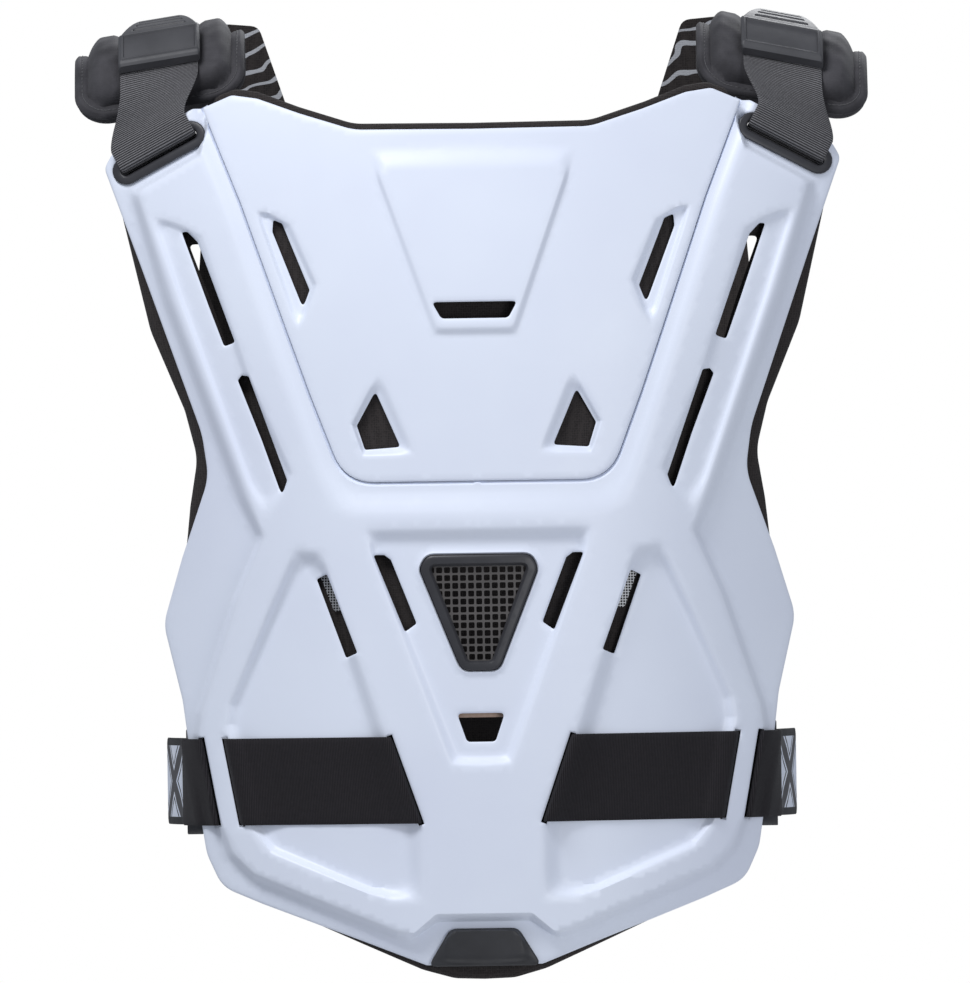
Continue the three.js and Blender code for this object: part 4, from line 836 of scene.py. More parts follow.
def outward(piece):
    """Points a closed piece's faces outwards."""
    made = bmesh.new()
    made.from_mesh(piece.data)
    bmesh.ops.recalc_face_normals(made, faces=made.faces[:])
    made.to_mesh(piece.data)
    made.free()


def skinned(name, sections, closed=False, ends=()):
    """A piece skinned over closed sections of as many points each, from the first to the last, and round to the
    first again where it is closed. The ends' faces are added to it."""
    count, width = sections.shape[:2]
    faces = list(ends)
    for i in range(count if closed else count - 1):
        low, high = i * width, (i + 1) % count * width
        faces += [(low + j, low + (j + 1) % width, high + (j + 1) % width, high + j) for j in range(width)]
    mesh = bpy.data.meshes.new(name)
    mesh.from_pydata(sections.reshape(-1, 3).tolist(), [], faces)
    piece = bpy.data.objects.new(name, mesh)
    bpy.context.collection.objects.link(piece)
    outward(piece)
    return piece


def strap_ring(name, ends, surface, out, side):
    """A ring that follows its slot, its section rounded at the lip."""
    outer = strap_slot(RING_RADIUS, ends)[0]
    sections = []
    for p, into in zip(outer, inward(outer)):
        section = []
        for share, height in RING_SECTION:
            x, z = p + into * RING_BAR * share
            rise = RING_PROUD - RING_DEPTH * (1 - height)
            section.append((side * x, float(surface(x, z)) + out * rise, z))
        sections.append(section)
    ring = skinned(name, np.array(sections), closed=True)
    smooth(ring, 50)
    return ring


for name, side in SIDES:
    ring = strap_ring("strap_ring_moulding_" + name, RING_ENDS, chest, -1, side)
    dressed(ring, black_nylon, "trim", "strap_ring_" + name)
    ring = strap_ring("back_ring_moulding_" + name, BACK_RING_ENDS, back, 1, side)
    dressed(ring, black_nylon, "trim", "back_ring_" + name)

# Shoulder pads
# Foam sleeves covered in stretched black knit, bent over the shoulders: a flat stitched border all round, and a
# domed cushion on each side of the channel that the webbing lies in.
PAD_CENTRE = float(across(312.5))
PAD_WIDTH, PAD_THICKNESS, PAD_RADIUS = 94 * MM, 16 * MM, 62 * MM
PAD_SHORT, PAD_REARWARD = 62 * MM, 10 * MM
PAD_REACH = (CHEST["reach"] + BACK["reach"]) / 2 - PAD_SHORT
PAD_LEAN = (BACK["reach"] - CHEST["reach"]) / 2 + PAD_REARWARD
PAD_TILT = {"left": 0.15, "right": 0.2}
PAD_DROP = {"left": 2 * MM, "right": 4 * MM}
PAD_FRONT, PAD_BACK = -61, 62
PAD_BORDER, BORDER_THICKNESS, BORDER_LIFT = 7.5 * MM, 5 * MM, 4 * MM
PAD_CORNER = 20 * MM
BORDER_ROUND, HOLLOW_SLOPE = 2.4 * MM, 18 * MM
CUSHION = {"rise": 1.6 * MM, "from": 0.5 * MM, "slope": 8 * MM, "fullness": 0.55}
GROOVE = {"depth": 1.3 * MM, "width": 0.9 * MM}
PIPING = {"rise": 0.5 * MM, "inset": 2 * MM, "width": 1.2 * MM}
CHANNEL = {"half": 25 * MM, "slope": 3.5 * MM, "sink": 0.3 * MM}
FOLDS = {"depth": 0.16 * MM, "along": 0.55, "across": 0.3 / MM}
PAD_STEPS = {"along": 96, "across": 72, "ends": 14}
PAD_END, PAD_FILL = 16, 0.8


def saddle(x, degrees, out):
    """A point over the shoulder: across, round from the top with forward negative, and out from the underside.
    The saddle falls a little towards the arm, as the shoulder does, and more on the right."""
    turn = np.radians(degrees)
    tilt, drop = (np.where(np.less(x, 0), form["left"], form["right"]) for form in (PAD_TILT, PAD_DROP))
    fall = drop + tilt * (np.abs(x) - PAD_CENTRE)
    return np.stack(np.broadcast_arrays(
        x, PAD_LEAN + (PAD_REACH + out) * np.sin(turn), (PAD_RADIUS + out) * np.cos(turn) - PAD_RADIUS - fall), axis=-1)


def sleeve(name, degrees, half_width, outer, inner, side, columns):
    """A closed skin over the saddle: outer and inner heights for each place along and across."""
    share = np.sin(np.linspace(-pi / 2, pi / 2, columns + 1))
    turn, part = np.meshgrid(degrees, share, indexing="ij")
    wide = part * half_width[:, None]
    top = saddle(side * PAD_CENTRE + side * wide, turn, outer(turn, wide))
    under = saddle(side * PAD_CENTRE + side * wide, turn, inner(turn, wide))
    sections = np.concatenate([top, under[:, ::-1]], axis=1)
    rows, length = sections.shape[:2]
    ends = [(first + j, first + j + 1, first + length - 2 - j, first + length - 1 - j)
            for first in (0, (rows - 1) * length) for j in range(columns)]
    return skinned(name, sections, ends=ends)


def along_arc(degrees):
    return np.radians(degrees) * (PAD_RADIUS + PAD_REACH + 2 * PAD_THICKNESS) / 2


def pad_half_width(degrees):
    """Half the pad's width at a place along it, drawn in at its round corners."""
    to_end = np.minimum(along_arc(degrees - PAD_FRONT), along_arc(PAD_BACK - degrees))
    drawn_in = PAD_CORNER - np.sqrt(np.maximum(PAD_CORNER**2 - np.maximum(PAD_CORNER - to_end, 0) ** 2, 0))
    return PAD_WIDTH / 2 - drawn_in


def to_border(turn, wide):
    """How far a place on the pad lies inside the pad's outline, with round corners."""
    middle = (PAD_FRONT + PAD_BACK) / 2
    beyond_long = np.abs(along_arc(turn - middle)) - (along_arc((PAD_BACK - PAD_FRONT) / 2) - PAD_CORNER)
    beyond_wide = np.abs(wide) - (PAD_WIDTH / 2 - PAD_CORNER)
    outside = np.hypot(np.maximum(beyond_long, 0), np.maximum(beyond_wide, 0))
    return PAD_CORNER - outside - np.minimum(np.maximum(beyond_long, beyond_wide), 0)


def pad_outer(turn, wide):
    """The pad's outer face: rounded border, groove, cushions and the webbing's channel between them."""
    reach = to_border(turn, wide)
    border = BORDER_LIFT + BORDER_THICKNESS * (0.5 + 0.5 * np.sqrt(np.clip(reach / BORDER_ROUND, 0, 1)))
    full = PAD_THICKNESS + CUSHION["rise"] - BORDER_LIFT - BORDER_THICKNESS
    dome = eased((reach - PAD_BORDER + CUSHION["from"]) / CUSHION["slope"]) ** CUSHION["fullness"]
    groove = GROOVE["depth"] * np.exp(-(((reach - PAD_BORDER) / GROOVE["width"]) ** 2))
    piping = PIPING["rise"] * np.exp(-(((reach - PIPING["inset"]) / PIPING["width"]) ** 2))
    channel = (CUSHION["rise"] + CHANNEL["sink"]) * eased((CHANNEL["half"] - np.abs(wide)) / CHANNEL["slope"])
    folds = FOLDS["depth"] * np.sin(turn * FOLDS["along"] + wide * FOLDS["across"])
    return border - groove + piping + (full - channel + folds) * dome


def pad_inner(turn, wide):
    reach = to_border(turn, wide)
    rim = 0.5 * BORDER_THICKNESS * (1 - np.sqrt(np.clip(reach / BORDER_ROUND, 0, 1)))
    return BORDER_LIFT * (1 - eased(reach / HOLLOW_SLOPE)) + rim


def stretched_knit(name, dark, light):
    """Fine stretch knit: rows of small stitches in both directions, with soft lint on top."""
    material, tree, shader = finish(name)
    place = add_node(tree, "ShaderNodeTexCoord")
    rows = add_node(tree, "ShaderNodeTexVoronoi", Scale=1150, Randomness=0.25)
    tree.links.new(place.outputs["Object"], rows.inputs["Vector"])
    patches = object_noise(tree, 55, detail=5)
    tint = blended(tree, patches, dark, light)
    tint.color_ramp.elements[0].position = 0.32
    tint.color_ramp.elements[1].position = 0.68
    tree.links.new(tint.outputs["Color"], shader.inputs["Base Color"])
    roughened(tree, shader, [(patches, 0.5 * MM, 0.3), (rows.outputs["Distance"], 0.22 * MM, 0.55)])
    shader.inputs["Roughness"].default_value = 0.78
    shader.inputs["Specular IOR Level"].default_value = 0.25
    shader.inputs["Sheen Weight"].default_value = 0.1
    shader.inputs["Sheen Roughness"].default_value = 0.45
    return material


pad_knit = stretched_knit("pad_knit", (0.03, 0.029, 0.033, 1), (0.062, 0.06, 0.067, 1))
thread, thread_tree, thread_shader = finish("pad_thread")
thread_tint = blended(thread_tree, object_noise(thread_tree, 900), (0.03, 0.03, 0.033, 1), (0.09, 0.088, 0.095, 1))
thread_tree.links.new(thread_tint.outputs["Color"], thread_shader.inputs["Base Color"])
thread_shader.inputs["Roughness"].default_value = 0.6
STITCH = {"inset": 4.2 * MM, "pitch": 3.6 * MM, "length": 2.3 * MM, "radius": 0.42 * MM}


def stitch_seam(name, side):
    """A row of stitches along the pad's border, each a small capsule sunk halfway into the cloth."""
    half_wide = PAD_WIDTH / 2 - STITCH["inset"]
    corner = PAD_CORNER - STITCH["inset"]
    halfway = (PAD_FRONT + PAD_BACK) / 2
    long = along_arc((PAD_BACK - PAD_FRONT) / 2) - STITCH["inset"]
    path = []
    for sign_a, sign_w, start in ((1, 1, 0), (-1, 1, 90), (-1, -1, 180), (1, -1, 270)):
        for t in range(0, 91, 15):
            a = radians(start + t)
            path.append((
                sign_a * (long - corner) + corner * cos(a), sign_w * (half_wide - corner) + corner * sin(a)))
    path = divided([np.array(path)], True, STITCH["pitch"])[0]
    seam_mesh = bmesh.new()
    for p, q in zip(path, np.roll(path, -1, axis=0)):
        middle, run = (p + q) / 2, (q - p) / np.linalg.norm(q - p)
        ends = []
        for s in (-0.5, 0.5):
            at = middle + run * STITCH["length"] * s
            ends.append((halfway + at[0] / along_arc(1), at[1]))
        places = [Vector(saddle(side * (PAD_CENTRE + w), t, float(pad_outer(t, w)))) for t, w in ends]
        axis = places[1] - places[0]
        turn_to = axis.to_track_quat("Z", "Y")
        made = bmesh.ops.create_uvsphere(seam_mesh, u_segments=8, v_segments=5, radius=STITCH["radius"])
        for v in made["verts"]:
            v.co.z *= axis.length / 2 / STITCH["radius"] + 0.6
            v.co = turn_to @ v.co + (places[0] + places[1]) / 2
    mesh = bpy.data.meshes.new(name)
    seam_mesh.to_mesh(mesh)
    seam_mesh.free()
    seam_piece = bpy.data.objects.new(name, mesh)
    bpy.context.collection.objects.link(seam_piece)
    return seam_piece


end_turns = np.linspace(0, 1, PAD_STEPS["ends"])[:-1] ** 2 * PAD_END
pad_turns = np.concatenate([
    PAD_FRONT + end_turns, np.linspace(PAD_FRONT + PAD_END, PAD_BACK - PAD_END, PAD_STEPS["along"]),
    (PAD_BACK - end_turns)[::-1]])
for name, side in SIDES:
    pad = sleeve(
        "shoulder_pad_sleeve_" + name, pad_turns, pad_half_width(pad_turns), pad_outer, pad_inner, side,
        PAD_STEPS["across"])
    smooth(pad, 60)
    dressed(pad, pad_knit, "padding", "shoulder_pad_" + name)
    seam_piece = stitch_seam("pad_stitching_" + name, side)
    smooth(seam_piece, 80)
    dressed(seam_piece, thread, "padding")

# Shoulder webbing
# Black nylon webbing with strong cross ribs. Each end goes out through its ring and back behind the shell, and the
# run between lies over the pad.
WEBBING_WIDTH, WEBBING_THICKNESS = 43 * MM, 1.8 * MM
EDGE_BEYOND_RING, SPREAD_IN_RING = 6.5 * MM, 1.5 * MM
HEM, HEM_APART = 9 * MM, 2.8 * MM
WEBBING_RUN = [
    (-60, -53, 1.6), (-45, -45, 0.2), (-30, -30, 0), (-15, -15, 0), (0, 0, 0), (15, 15, 0), (30, 30, 0),
    (45, 45, 0.2), (60, 52, 0.9), (75, 57, 1.8)]
SELVEDGE = {"squareness": 24, "least": 0.3}


def ribbon(name, stations, thickness, columns=12, spacing=1.6 * MM, rounds=2, square=False):
    """A flat woven band through pairs of edge points: corners eased, both selvedges rounded, and a UV map in
    metres, across and along. The weave follows the pairs, or stands square to the band's own length."""
    pairs = np.array(stations, float)
    for _ in range(rounds):
        near, far = pairs[:-1] * 0.75 + pairs[1:] * 0.25, pairs[:-1] * 0.25 + pairs[1:] * 0.75
        cut = np.empty((2 * len(near), 2, 3))
        cut[0::2], cut[1::2] = near, far
        pairs = np.concatenate([pairs[:1], cut, pairs[-1:]])
    middle = pairs.mean(axis=1)
    run = np.concatenate([[0], np.cumsum(np.linalg.norm(np.diff(middle, axis=0), axis=1))])
    places = np.linspace(0, run[-1], max(2, int(run[-1] / spacing)) + 1)
    even = np.stack([[np.interp(places, run, pairs[:, e, k]) for k in range(3)] for e in (0, 1)])
    a, b = even[0].T, even[1].T
    along = np.gradient((a + b) / 2, axis=0)
    wide = b - a
    out = np.cross(along, wide)
    out /= np.linalg.norm(out, axis=1)[:, None]
    width = np.linalg.norm(wide, axis=1).mean()
    shares = (1 - np.cos(np.linspace(0, pi, columns + 1))) / 2
    fullness = np.sqrt(1 - np.abs(2 * shares - 1) ** SELVEDGE["squareness"])
    rounded = thickness / 2 * np.clip(fullness, SELVEDGE["least"], 1)
    top = a[:, None] + wide[:, None] * shares[:, None] + out[:, None] * rounded[:, None]
    under = a[:, None] + wide[:, None] * shares[:, None] - out[:, None] * rounded[:, None]
    sections = np.concatenate([top, under[:, ::-1]], axis=1)
    rows, length = sections.shape[:2]
    band = skinned(name, sections, ends=[tuple(range(length)), tuple(range((rows - 1) * length, rows * length))])
    uv = band.data.uv_layers.new(name="weave")
    part = np.concatenate([shares, shares[::-1]])
    steps = np.array([np.linalg.norm(np.diff(edge, axis=0), axis=1) for edge in (a, b)])
    own = np.concatenate([np.zeros((2, 1)), np.cumsum(steps, axis=1)], axis=1)
    lead = (b[0] - a[0]) @ along[0] / np.linalg.norm(along[0])
    for loop in band.data.loops:
        i, j = divmod(loop.vertex_index, length)
        run_here = own[0, i] + (own[1, i] + lead - own[0, i]) * part[j] if square else places[i]
        uv.data[loop.index].uv = (part[j] * width, run_here)
    smooth(band, 60)
    return band, width, run[-1]


def at_ring(ends, surface, out, up, rise, side):
    """The webbing's two edges at a ring: up from the slot's middle line, and out from the shell."""
    a, b = (np.array((across(x), level(z))) for x, z in ends)
    along = (a - b) / np.linalg.norm(a - b)
    upward = np.array((-along[1], along[0])) * up
    pair = [(a + b) / 2 + along * s * (WEBBING_WIDTH / 2 + SPREAD_IN_RING) + upward for s in (1, -1)]
    return [(side * x, float(surface(x, z)) + out * rise, z) for x, z in pair]


def webbing_stations(side):
    over = PAD_THICKNESS + FIT_GAP + WEBBING_THICKNESS / 2
    behind, ahead = RING_PROUD - RING_DEPTH - FIT_GAP - WEBBING_THICKNESS, RING_PROUD + FIT_GAP + WEBBING_THICKNESS
    bar = RING_RADIUS + WEBBING_THICKNESS

    def end(ends, surface, out):
        return [at_ring(ends, surface, out, up, rise, side) for up, rise in (
            (-HEM, behind - HEM_APART), (bar, behind - HEM_APART), (bar, behind), (0, behind), (0, ahead),
            (bar, ahead), (bar + EDGE_BEYOND_RING, ahead))]

    run = []
    for outer, inner, lift in WEBBING_RUN:
        edges = ((WEBBING_WIDTH / 2, outer), (-WEBBING_WIDTH / 2, inner))
        run.append([tuple(saddle(side * (PAD_CENTRE + by), turn, over + lift * MM)) for by, turn in edges])
    return end(RING_ENDS, chest, -1) + run + end(BACK_RING_ENDS, back, 1)[::-1]


def waves(tree, coordinate, pitch, sharpness):
    """Even ridges across one of the UV map's directions, as heights from 0 to 1."""
    wave = math_node(tree, "SINE", math_node(tree, "MULTIPLY", coordinate, 2 * pi / pitch))
    return math_node(tree, "POWER", ranged(tree, wave, 0, 1, start=-1), sharpness)


def woven(name, rib, cord, dark, light, depth, lint=0.3):
    """Woven band cloth: cross ribs and lengthwise cords from the UV map, with painted shade darkening the hollows and
    painted light on the rib tops, and lint.
    """
    material, tree, shader = finish(name)
    weave = add_node(tree, "ShaderNodeUVMap", uv_map="weave")
    split = add_node(tree, "ShaderNodeSeparateXYZ")
    tree.links.new(weave.outputs["UV"], split.inputs["Vector"])
    ribs = waves(tree, split.outputs["Y"], rib, 0.8)
    cords = waves(tree, split.outputs["X"], cord, 0.5)
    weave_height = math_node(tree, "MULTIPLY", ribs, ranged(tree, cords, 0.55, 1))
    fluff = object_noise(tree, 420, detail=5, roughness=0.65)
    # Painted shade and light: the weave's height, mottled by lint, darkens the colour in the hollows and lightens it on
    # the rib tops.
    weave_shade_and_lint = math_node(tree, "MULTIPLY", weave_height, ranged(tree, fluff, 1 - lint, 1 + lint))
    tint = blended(tree, weave_shade_and_lint, dark, light)
    tree.links.new(tint.outputs["Color"], shader.inputs["Base Color"])
    roughened(tree, shader, [(object_noise(tree, 70, detail=3), 0.5 * MM, 0.3), (weave_height, depth, 0.9)])
    shader.inputs["Roughness"].default_value = 0.68
    shader.inputs["Specular IOR Level"].default_value = 0.2
    shader.inputs["Sheen Weight"].default_value = 0.04
    return material


# The dark colour is painted shade in the rib hollows, and the light one is painted light on the rib tops.
ribbed_webbing = woven(
    "ribbed_webbing", rib=1.25 * MM, cord=0.8 * MM, dark=(0.005, 0.005, 0.006, 1), light=(0.27, 0.265, 0.28, 1),
    depth=0.8 * MM)
for name, side in SIDES:
    strap, width, length = ribbon("shoulder_webbing_" + name, webbing_stations(side), WEBBING_THICKNESS)
    dressed(strap, ribbed_webbing, "webbing", "shoulder_strap_" + name)

# Strap keepers
# A moulded rubber keeper grips the webbing on each shoulder: a framed plate, bare inside its frame, and a ribbed
# tab behind it that narrows to the back.
KEEPER_WIDTH, KEEPER_THICKNESS = 45 * MM, 6.5 * MM
KEEPER_GAP = 2 * FIT_GAP + 0.3 * MM
KEEPER_UNDER = PAD_THICKNESS + WEBBING_THICKNESS + KEEPER_GAP
KEEPER_SECTIONS = [
    (-45, 0.97, 0.8), (-43.8, 1, 0.97), (-42.5, 1, 1), (-26, 1, 1), (-24.8, 0.97, 0.84), (-3, 0.5, 0.66),
    (6, 0.42, 0.4)]
KEEPER_SIDE = {"round": 1.4 * MM, "upright": 0.72}
PLATE_TURNS = (-42.7, -26.6)
FRAME = {"inset": 1.2 * MM, "bar": 1.5 * MM, "rise": 0.75 * MM, "slope": 0.35 * MM, "sink": 0.25 * MM}
TAB_GROOVES = (-20.5, -15.5, -10.5)
TAB_GROOVE = {"half": 1.05 * MM, "depth": 2.2 * MM, "share": 0.74}
KEEPER_STEPS = {"along": 120, "across": 64}


def keeper_shares(turn):
    turns, widths, heights = zip(*KEEPER_SECTIONS)
    return np.interp(turn, turns, widths), np.interp(turn, turns, heights)


def keeper_arc(degrees):
    return np.radians(degrees) * (PAD_RADIUS + PAD_THICKNESS + WEBBING_THICKNESS + KEEPER_THICKNESS)


def keeper_outer(turn, wide):
    """The keeper's outer face: rounded sides, the raised frame round the plate, and the tab's grooves."""
    widths, heights = keeper_shares(turn)
    half = widths * KEEPER_WIDTH / 2
    edge = np.clip((half - np.abs(wide)) / KEEPER_SIDE["round"], 0, 1)
    upright = KEEPER_SIDE["upright"]
    top = KEEPER_THICKNESS * heights * (upright + (1 - upright) * np.sqrt(1 - (1 - edge) ** 2))
    low, high = (keeper_arc(t) for t in PLATE_TURNS)
    place = keeper_arc(turn)
    inset = np.minimum(np.minimum(place - low, high - place), half - np.abs(wide) - FRAME["inset"])
    sunk = eased((inset - FRAME["bar"]) / FRAME["slope"])
    in_frame = eased(inset / FRAME["slope"]) * (1 - sunk)
    grooves = sum(np.exp(-(((place - keeper_arc(g)) / TAB_GROOVE["half"]) ** 2)) for g in TAB_GROOVES)
    grooves = grooves * (np.abs(wide) < half * TAB_GROOVE["share"])
    return KEEPER_UNDER + top + FRAME["rise"] * in_frame - FRAME["sink"] * sunk - TAB_GROOVE["depth"] * grooves


keeper_turns = np.linspace(KEEPER_SECTIONS[0][0], KEEPER_SECTIONS[-1][0], KEEPER_STEPS["along"] + 1)
keeper_rubber = moulded_nylon("keeper_rubber", (0.032, 0.032, 0.036, 1), (0.068, 0.068, 0.075, 1), 0.55)
for name, side in SIDES:
    keeper = sleeve(
        "strap_keeper_moulding_" + name, keeper_turns, keeper_shares(keeper_turns)[0] * KEEPER_WIDTH / 2,
        keeper_outer, lambda turn, wide: KEEPER_UNDER + 0 * turn, side, KEEPER_STEPS["across"])
    smooth(keeper, 45)
    dressed(keeper, keeper_rubber, "rubber", "strap_keeper_" + name)

# Elastic bands
# Wide black elastic, close ribbed across, that comes out through the inner slit of each lower panel, crosses it,
# dives under the outer rib, comes out over the flange and turns back round its edge to the buckle.
ELASTIC_THICKNESS = 1.6 * MM
ELASTIC_PLAN = [
    (76, 46, 0), (91.5, 61.5, 0), (91.5, 61.5, 1), (100, 70, 1), (120, 88, 1), (180, 150, 1), (232, 214, 1),
    (246, 229, 1), (257, 241, 1), (257, 241, 0), (269, 253, 0), (280.5, 265, 0), (280.5, 265, 1), (289, 275, 1),
    (297.5, 285, 1)]
FLANGE_ROUND = (301, 289)
CLEARED_EACH_WAY = 6
ELASTIC_LEVELS = (float(level(SLIT_TOP)), float(level(SLIT_BOTTOM)))
BUCKLE_ACROSS, BUCKLE_BEHIND, BUCKLE_THICKNESS = 303, 15 * MM, 9 * MM
BUCKLE_PULLED_IN = 8 * MM
BAR_SLOT = 7.5 * MM
buckle_seat = float(across(BUCKLE_ACROSS))
buckle_x = buckle_seat - BUCKLE_PULLED_IN
buckle_z = sum(ELASTIC_LEVELS) / 2
buckle_front = float(chest(buckle_seat, buckle_z)) + BUCKLE_BEHIND


def elastic_stations(side):
    """Pairs of the band's edge points: over or under whatever stands highest near each, then round the flange
    and through the buckle's bar."""
    near = across(CLEARED_EACH_WAY)
    lift = CLOTH_GAP + ELASTIC_THICKNESS / 2
    stations = []
    for top, bottom, is_front in ELASTIC_PLAN:
        pair = []
        for steps, z in zip((top, bottom), ELASTIC_LEVELS):
            x = float(across(steps))
            forms = shell_form(np.array([(x - near, z), (x, z), (x + near, z)]))
            rise = forms.max() + lift if is_front else forms.min() - SHELL_WALL - lift
            pair.append((side * x, float(chest(x, z)) - rise, z))
        stations.append(pair)
    stations.append([(side * float(across(steps)), float(chest(across(steps), z)) + SHELL_WALL, z)
                     for steps, z in zip(FLANGE_ROUND, ELASTIC_LEVELS)])
    beside_bar = BUCKLE_THICKNESS / 2 + lift
    for out, y in ((beside_bar, -1 * MM), (beside_bar, BAR_SLOT), (-beside_bar, BAR_SLOT), (-beside_bar, 1 * MM)):
        stations.append([(side * (buckle_x + out), buckle_front + y, z) for z in ELASTIC_LEVELS])
    return stations


# The dark colour is painted shade in the rib hollows, and the light one is painted light on the rib tops.
black_elastic = woven(
    "black_elastic", rib=0.95 * MM, cord=0.7 * MM, dark=(0.007, 0.006, 0.0075, 1), light=(0.027, 0.024, 0.028, 1),
    depth=0.22 * MM, lint=0.6)
for name, side in SIDES:
    band, width, length = ribbon(
        "elastic_webbing_" + name, elastic_stations(side), ELASTIC_THICKNESS, rounds=1, square=True)
    dressed(band, black_elastic, "elastic", "elastic_band_" + name)

# Buckles
# Fastened side-release buckles of black nylon, with their edges broken: the socket on the elastic's side and the
# prong on the strap's.
BUCKLE_ROUND = 0.7 * MM
for name, side in SIDES:
    for half in ("buckle_socket_", "buckle_prong_"):
        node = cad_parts[half + name]
        moulding = bpy.data.objects.new(half + "moulding_" + name, node.data.copy())
        bpy.context.collection.objects.link(moulding)
        moulding.data.transform(Matrix.Translation((-side * BUCKLE_PULLED_IN, 0, 0)) @ node.matrix_world)
        shaped = bmesh.new()
        shaped.from_mesh(moulding.data)
        bmesh.ops.remove_doubles(shaped, verts=shaped.verts[:], dist=0.02 * MM)
        bmesh.ops.dissolve_limit(shaped, angle_limit=radians(1), verts=shaped.verts[:], edges=shaped.edges[:])
        shaped.to_mesh(moulding.data)
        shaped.free()
        bpy.ops.object.select_all(action="DESELECT")
        moulding.select_set(True)
        bpy.context.view_layer.objects.active = moulding
        edges = moulding.modifiers.new("edges", "BEVEL")
        edges.width = BUCKLE_ROUND
        edges.segments = 3
        edges.limit_method = "ANGLE"
        edges.angle_limit = radians(40)
        bpy.ops.object.modifier_apply(modifier="edges")
        smooth(moulding, 35)
        dressed(moulding, black_nylon, "trim", half + name)

# Side straps
# Patterned webbing: each strap's free tail hangs outside, and the strap turns through the prong's bar and runs
# round the back shell's flange. Its pattern is a generic one of black borders, crossing grey bands and pale fields.
SIDE_STRAP_WIDTH = 48 * MM
STRAP_TAIL = [(9, 52), (5, 26), (0, 9), (0, 0)]
BUCKLE_LENGTH, PAST_BAR = 46 * MM, 14 * MM
BACK_FLANGE, STRAP_TURN, STRAP_LAP = 289, 3 * MM, 12 * MM
PATTERN = {"repeat": 96 * MM, "border": 4.2 * MM, "band": 0.12, "line": 0.02, "line_at": 0.19}
PATTERN_BAND, PATTERN_LINE = (0.075, 0.075, 0.082, 1), (0.02, 0.02, 0.022, 1)
PATTERN_BORDER = (0.014, 0.014, 0.016, 1)
PATTERN_FIELD = (0.62, 0.7, 0.86, 1), (0.88, 0.9, 0.95, 1)


def side_strap_stations(side):
    """Pairs of the strap's edge points: the hanging tail, the prong's bar, and round the back shell's flange."""
    bar = buckle_front + BUCKLE_LENGTH - BAR_SLOT
    beside_bar = BUCKLE_THICKNESS / 2 + CLOTH_GAP + WEBBING_THICKNESS / 2
    edge = float(across(BACK_FLANGE))

    def on_flange(x):
        return float(back(x, buckle_z)) + 2 * CLOTH_GAP + WEBBING_THICKNESS / 2

    run = [(buckle_x + beside_bar + out * MM, bar + behind * MM) for out, behind in STRAP_TAIL]
    run += [
        (buckle_x - beside_bar, bar), (buckle_x - beside_bar, bar + PAST_BAR),
        (edge + STRAP_TURN, float(back(edge, buckle_z)) - SHELL_WALL - LINER_WALL), (edge + STRAP_TURN, on_flange(edge)),
        (edge - STRAP_LAP, on_flange(edge - STRAP_LAP))]
    return [[(side * x, y, buckle_z + s * SIDE_STRAP_WIDTH / 2) for s in (1, -1)] for x, y in run]


def patterned_webbing():
    """Printed webbing: black borders, two grey bands that cross in each repeat, and pale fields between them."""
    material, tree, shader = finish("patterned_webbing")
    weave = add_node(tree, "ShaderNodeUVMap", uv_map="weave")
    split = add_node(tree, "ShaderNodeSeparateXYZ")
    tree.links.new(weave.outputs["UV"], split.inputs["Vector"])
    u = math_node(tree, "DIVIDE", split.outputs["X"], SIDE_STRAP_WIDTH)
    v = math_node(tree, "FRACT", math_node(tree, "DIVIDE", split.outputs["Y"], PATTERN["repeat"]))
    u_back = math_node(tree, "SUBTRACT", 1.0, u)

    def apart(first, second):
        return math_node(tree, "ABSOLUTE", math_node(tree, "SUBTRACT", first, second))

    slant = math_node(tree, "MULTIPLY", apart(v, 0.5), 2)
    off_band = math_node(tree, "MINIMUM", apart(u, slant), apart(u_back, slant))
    band = math_node(tree, "LESS_THAN", off_band, PATTERN["band"])
    line = math_node(tree, "LESS_THAN", apart(off_band, PATTERN["line_at"]), PATTERN["line"])
    to_edge = math_node(tree, "MINIMUM", u, u_back)
    border = math_node(tree, "LESS_THAN", to_edge, PATTERN["border"] / SIDE_STRAP_WIDTH)
    colour = blended(tree, object_noise(tree, 60), *PATTERN_FIELD).outputs["Color"]
    for mask, shade in ((band, PATTERN_BAND), (line, PATTERN_LINE), (border, PATTERN_BORDER)):
        mix = add_node(tree, "ShaderNodeMix", data_type="RGBA")
        tree.links.new(mask, mix.inputs["Factor"])
        tree.links.new(colour, mix.inputs[6])
        mix.inputs[7].default_value = shade
        colour = mix.outputs[2]
    tree.links.new(colour, shader.inputs["Base Color"])
    ribs = waves(tree, split.outputs["Y"], 1.3 * MM, 0.8)
    roughened(tree, shader, [(object_noise(tree, 70), 0.4 * MM, 0.3), (ribs, 0.22 * MM, 0.6)])
    shader.inputs["Roughness"].default_value = 0.6
    return material


side_webbing = patterned_webbing()
for name, side in SIDES:
    strap, width, length = ribbon("side_webbing_" + name, side_strap_stations(side), WEBBING_THICKNESS, rounds=1)
    dressed(strap, side_webbing, "patterned", "side_strap_" + name)

# Camera and studio
# A long lens at the height of the waist, level with the chest and rolled a little, in a dim white room: a broad
# softbox high in front and to the left, so that slopes facing down fall into shade, a weaker one low on the
# right, and one behind for the back.
CAMERA_AWAY = 16.0
SCALE_PLANE = -0.09
FRAME_STEPS = 970
VIEW_MIDDLE = (7.5, -0.1)
ROLL = 0.9
SENSOR = 36.0
FLOOR_RADIUS, FLOOR_LEVEL = 0.6, -1.3
ROOM_TINT, ROOM_LIGHT = (0.86, 0.91, 1, 1), 0.37
LAMP_TINT = (0.97, 0.98, 1)
camera_data = bpy.data.cameras.new("camera")
camera_data.sensor_fit = "HORIZONTAL"
camera_data.sensor_width = SENSOR
camera_data.lens = SENSOR * (CAMERA_AWAY + SCALE_PLANE) / (FRAME_STEPS * STEP_OUT)
camera_data.clip_end = 50
camera = bpy.data.objects.new("camera", camera_data)
bpy.context.collection.objects.link(camera)
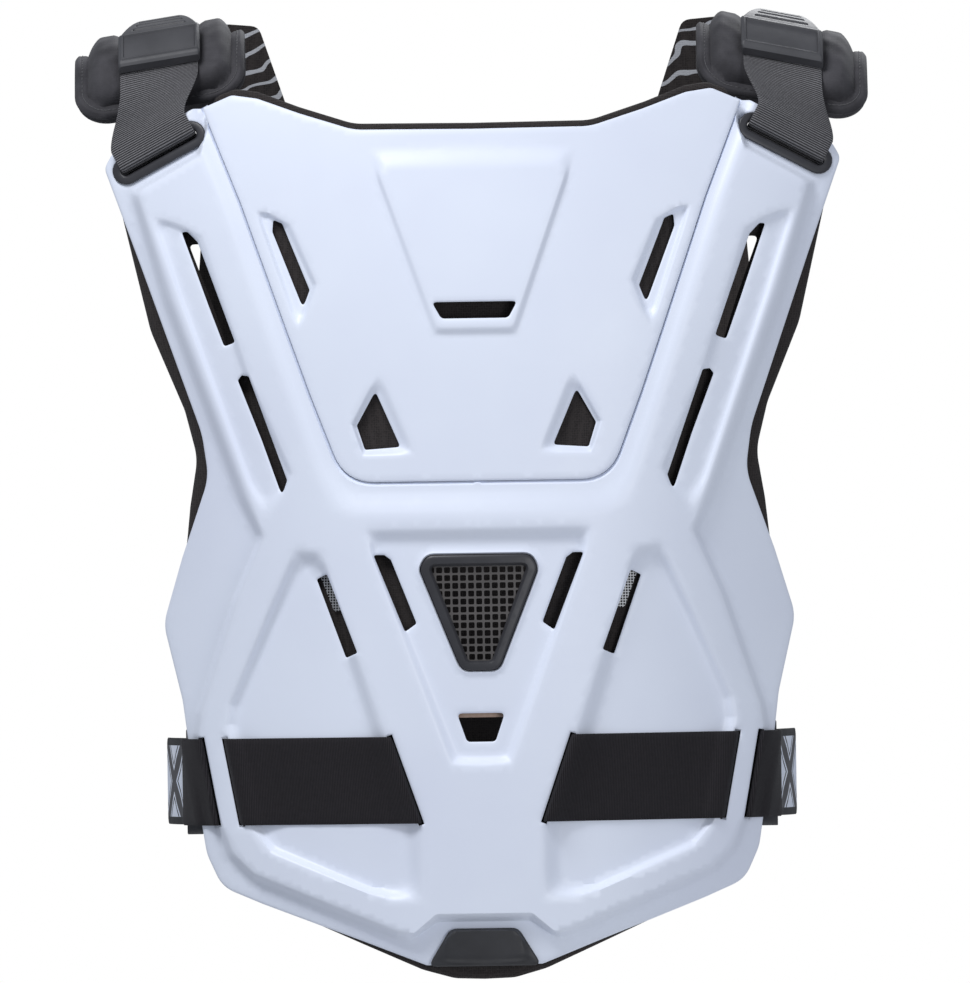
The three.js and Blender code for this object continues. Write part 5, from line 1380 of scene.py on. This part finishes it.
camera.location = (across(VIEW_MIDDLE[0]), -CAMERA_AWAY, level(VIEW_MIDDLE[1]))
camera.rotation_euler = (pi / 2, radians(ROLL), 0)
bpy.context.scene.camera = camera

bpy.ops.mesh.primitive_circle_add(
    vertices=96, radius=FLOOR_RADIUS, fill_type="NGON", location=(0, 0, FLOOR_LEVEL))
floor = bpy.context.object
floor.name = floor.data.name = "floor"
floor_finish, _, floor_shader = finish("pale_floor")
floor_shader.inputs["Base Color"].default_value = (0.9, 0.9, 0.9, 1)
floor_shader.inputs["Roughness"].default_value = 0.8
floor.data.materials.append(floor_finish)

world = bpy.data.worlds.new("white_room")
bpy.context.scene.world = world
world.use_nodes = True
room = world.node_tree
seen = add_node(room, "ShaderNodeBackground", Color=(1, 1, 1, 1), Strength=1.0)
lit = room.nodes["Background"]
lit.inputs["Color"].default_value = ROOM_TINT
lit.inputs["Strength"].default_value = ROOM_LIGHT
ray = add_node(room, "ShaderNodeLightPath")
mix = add_node(room, "ShaderNodeMixShader")
room.links.new(ray.outputs["Is Camera Ray"], mix.inputs["Fac"])
room.links.new(lit.outputs["Background"], mix.inputs[1])
room.links.new(seen.outputs["Background"], mix.inputs[2])
room.links.new(mix.outputs["Shader"], room.nodes["World Output"].inputs["Surface"])


def softbox(name, place, size, watts):
    """A rectangular lamp that points at the chest."""
    lamp = bpy.data.lights.new(name, "AREA")
    lamp.shape = "RECTANGLE"
    lamp.size, lamp.size_y = size
    lamp.energy = watts
    lamp.color = LAMP_TINT
    box = bpy.data.objects.new(name, lamp)
    bpy.context.collection.objects.link(box)
    box.location = place
    box.rotation_euler = (Vector((0, 0, level(0))) - Vector(place)).to_track_quat("-Z", "Y").to_euler()


softbox("overhead_left", (-0.95, -1.5, 1.85), (1.1, 0.8), 50)
softbox("low_right", (1.3, -2.3, -0.35), (0.9, 0.9), 16)
softbox("behind", (0.7, 2.2, 1.6), (1.0, 0.9), 40)
bpy.context.scene.view_settings.view_transform = "Standard"
bpy.context.scene.view_settings.look = "None"
